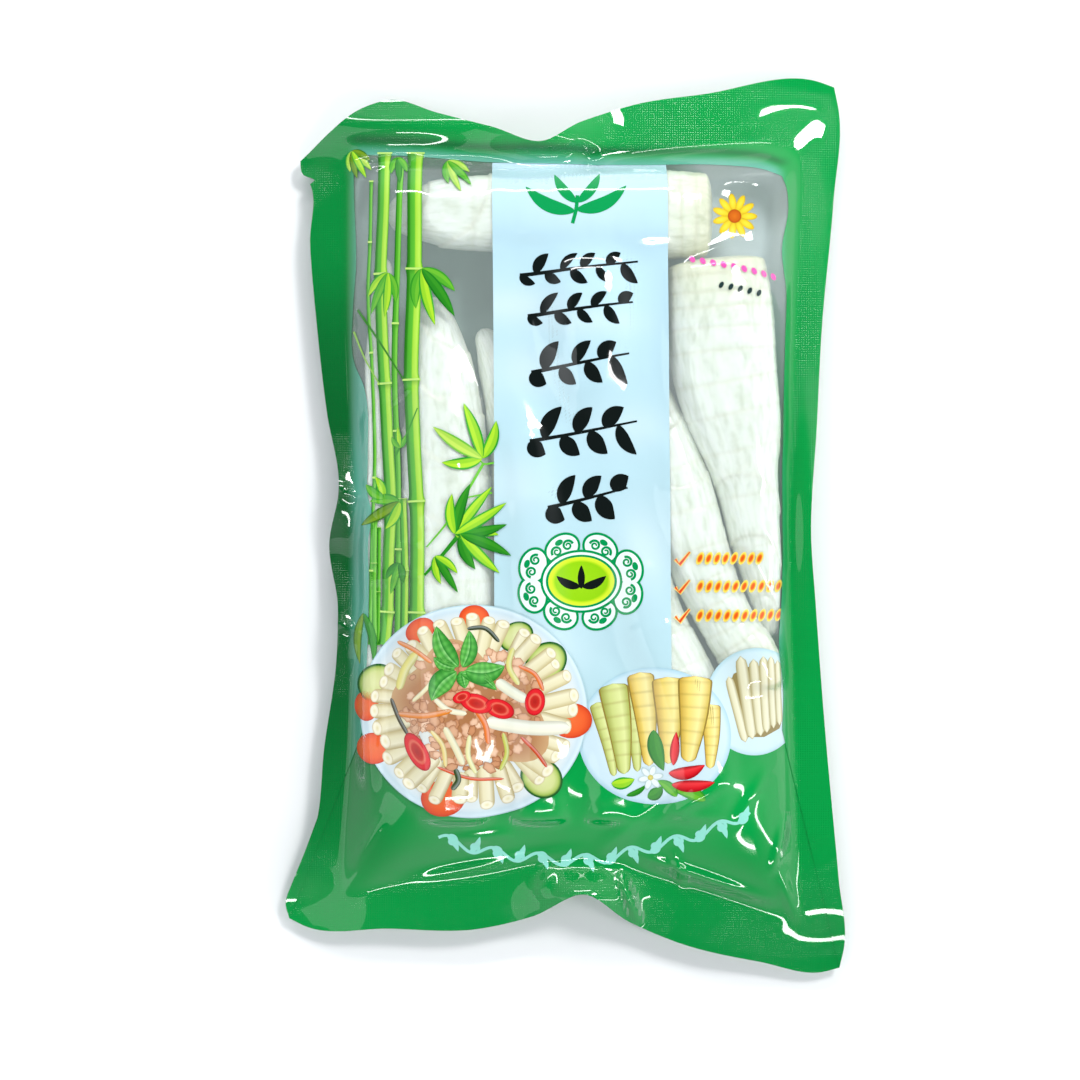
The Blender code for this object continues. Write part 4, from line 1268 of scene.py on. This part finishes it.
# ---------------------------------------------------------------------------
# Small marks
# A plain printed daisy, rows of dots and lozenges, and three ticks, at the
# right of the window.
# ---------------------------------------------------------------------------
DAISY = (47.2, 86.6)
DAISY_PETALS = 11
PETAL = [(0, ink(250, 226, 70)), (0.6, ink(244, 214, 50)), (1, ink(216, 180, 40))]
mark_patches = []
for place in range(DAISY_PETALS):
    degrees = 360.0 * place / DAISY_PETALS
    at = (DAISY[0] + 3.9 * np.cos(np.radians(degrees)), DAISY[1] + 3.9 * np.sin(np.radians(degrees)))
    mark_patches.append(disc(at, 2.5, 1.05, PETAL, 3.2 + 0.4 * (place % 2), degrees, rings=6, sides=21))
mark_patches.append(disc(DAISY, 1.9, 1.9,
                         [(0, ink(222, 120, 30)), (0.8, ink(206, 98, 24)), (1, ink(170, 76, 20))], 4.2))


def mark_row(start, end, count, reach_x, reach_y, tilt, stops, layer=3.0):
    """A row of equal ovals or lozenges from start to end."""
    share = (np.arange(count) + 0.5) / count
    places = np.array(start) + share[:, None] * (np.array(end) - np.array(start))
    return [disc(tuple(place), reach_x, reach_y, stops, layer, tilt, rings=5, sides=17) for place in places]


PINK_INK = ink(240, 90, 180)
DARK_DOT = ink(40, 60, 60)
mark_patches += mark_row((33.8, 74.6), (59.6, 69.6), 9, 1.05, 0.75, -60, [(0, PINK_INK), (1, PINK_INK)])
mark_patches += mark_row((41.8, 67.2), (55.0, 64.6), 5, 1.0, 0.6, 60, [(0, DARK_DOT), (1, DARK_DOT)])
LOZENGE = [(0, ink(226, 84, 20)), (0.55, ink(236, 110, 24)), (0.66, ink(252, 214, 70)),
           (1, ink(252, 226, 110))]
for tick_y, row_end, count in [(-8.7, 55.4, 8), (-16.5, 61.0, 10), (-24.6, 61.2, 10)]:
    tick = np.array([(30.6, tick_y - 0.2), (31.8, tick_y - 1.7), (34.6, tick_y + 1.8)])
    mark_patches.append((ribbon(tick, np.array([1.2, 1.5, 0.8]), FLAT_SHARES), ink(252, 220, 120), 3.0))
    mark_patches.append((ribbon(tick, np.array([0.5, 0.8, 0.3]), FLAT_SHARES), ink(226, 70, 30), 3.4))
    mark_patches += mark_row((36.2, tick_y), (row_end, tick_y), count, 0.95, 1.9, -24, LOZENGE)
printed_piece("small_marks_print", mark_patches)


# ---------------------------------------------------------------------------
# Vine flourish
# A pale mint vine with curls and small leaves, printed in a shallow arc
# across the lower band.
# ---------------------------------------------------------------------------
MINT_INK = ink(150, 232, 214)
VINE_LINE = [(-35.4, -86.8), (-24, -90.6), (-8, -93.0), (9, -93.2), (24, -89.6), (38, -85.4), (51.4, -79.4)]
vine_share = np.linspace(0, 1, 360)
vine_line = along(VINE_LINE, vine_share)
vine_line[:, 1] += 1.5 * np.sin(2 * np.pi * 7 * vine_share)
vine_patches = [(ribbon(vine_line, 0.9, FLAT_SHARES), MINT_INK, 3)]
for place in range(14):
    at = vine_line[int((place + 0.5) / 14 * 359)]
    side = 1 if place % 2 else -1
    vine_patches.append(curl((at[0] + 0.9, at[1] + 1.5 * side), 1.7, -side * 110, side * 1.2, 0.8,
                             MINT_INK, 3.3))
    vine_patches.append(leaf(at[0] - 0.4, at[1], at[0] + 2.6, at[1] + 4.8 * side, 1.8, 0.1 * side,
                             MINT_INK, 3.6, FLAT_SHARES))
printed_piece("mint_vine_print", vine_patches)
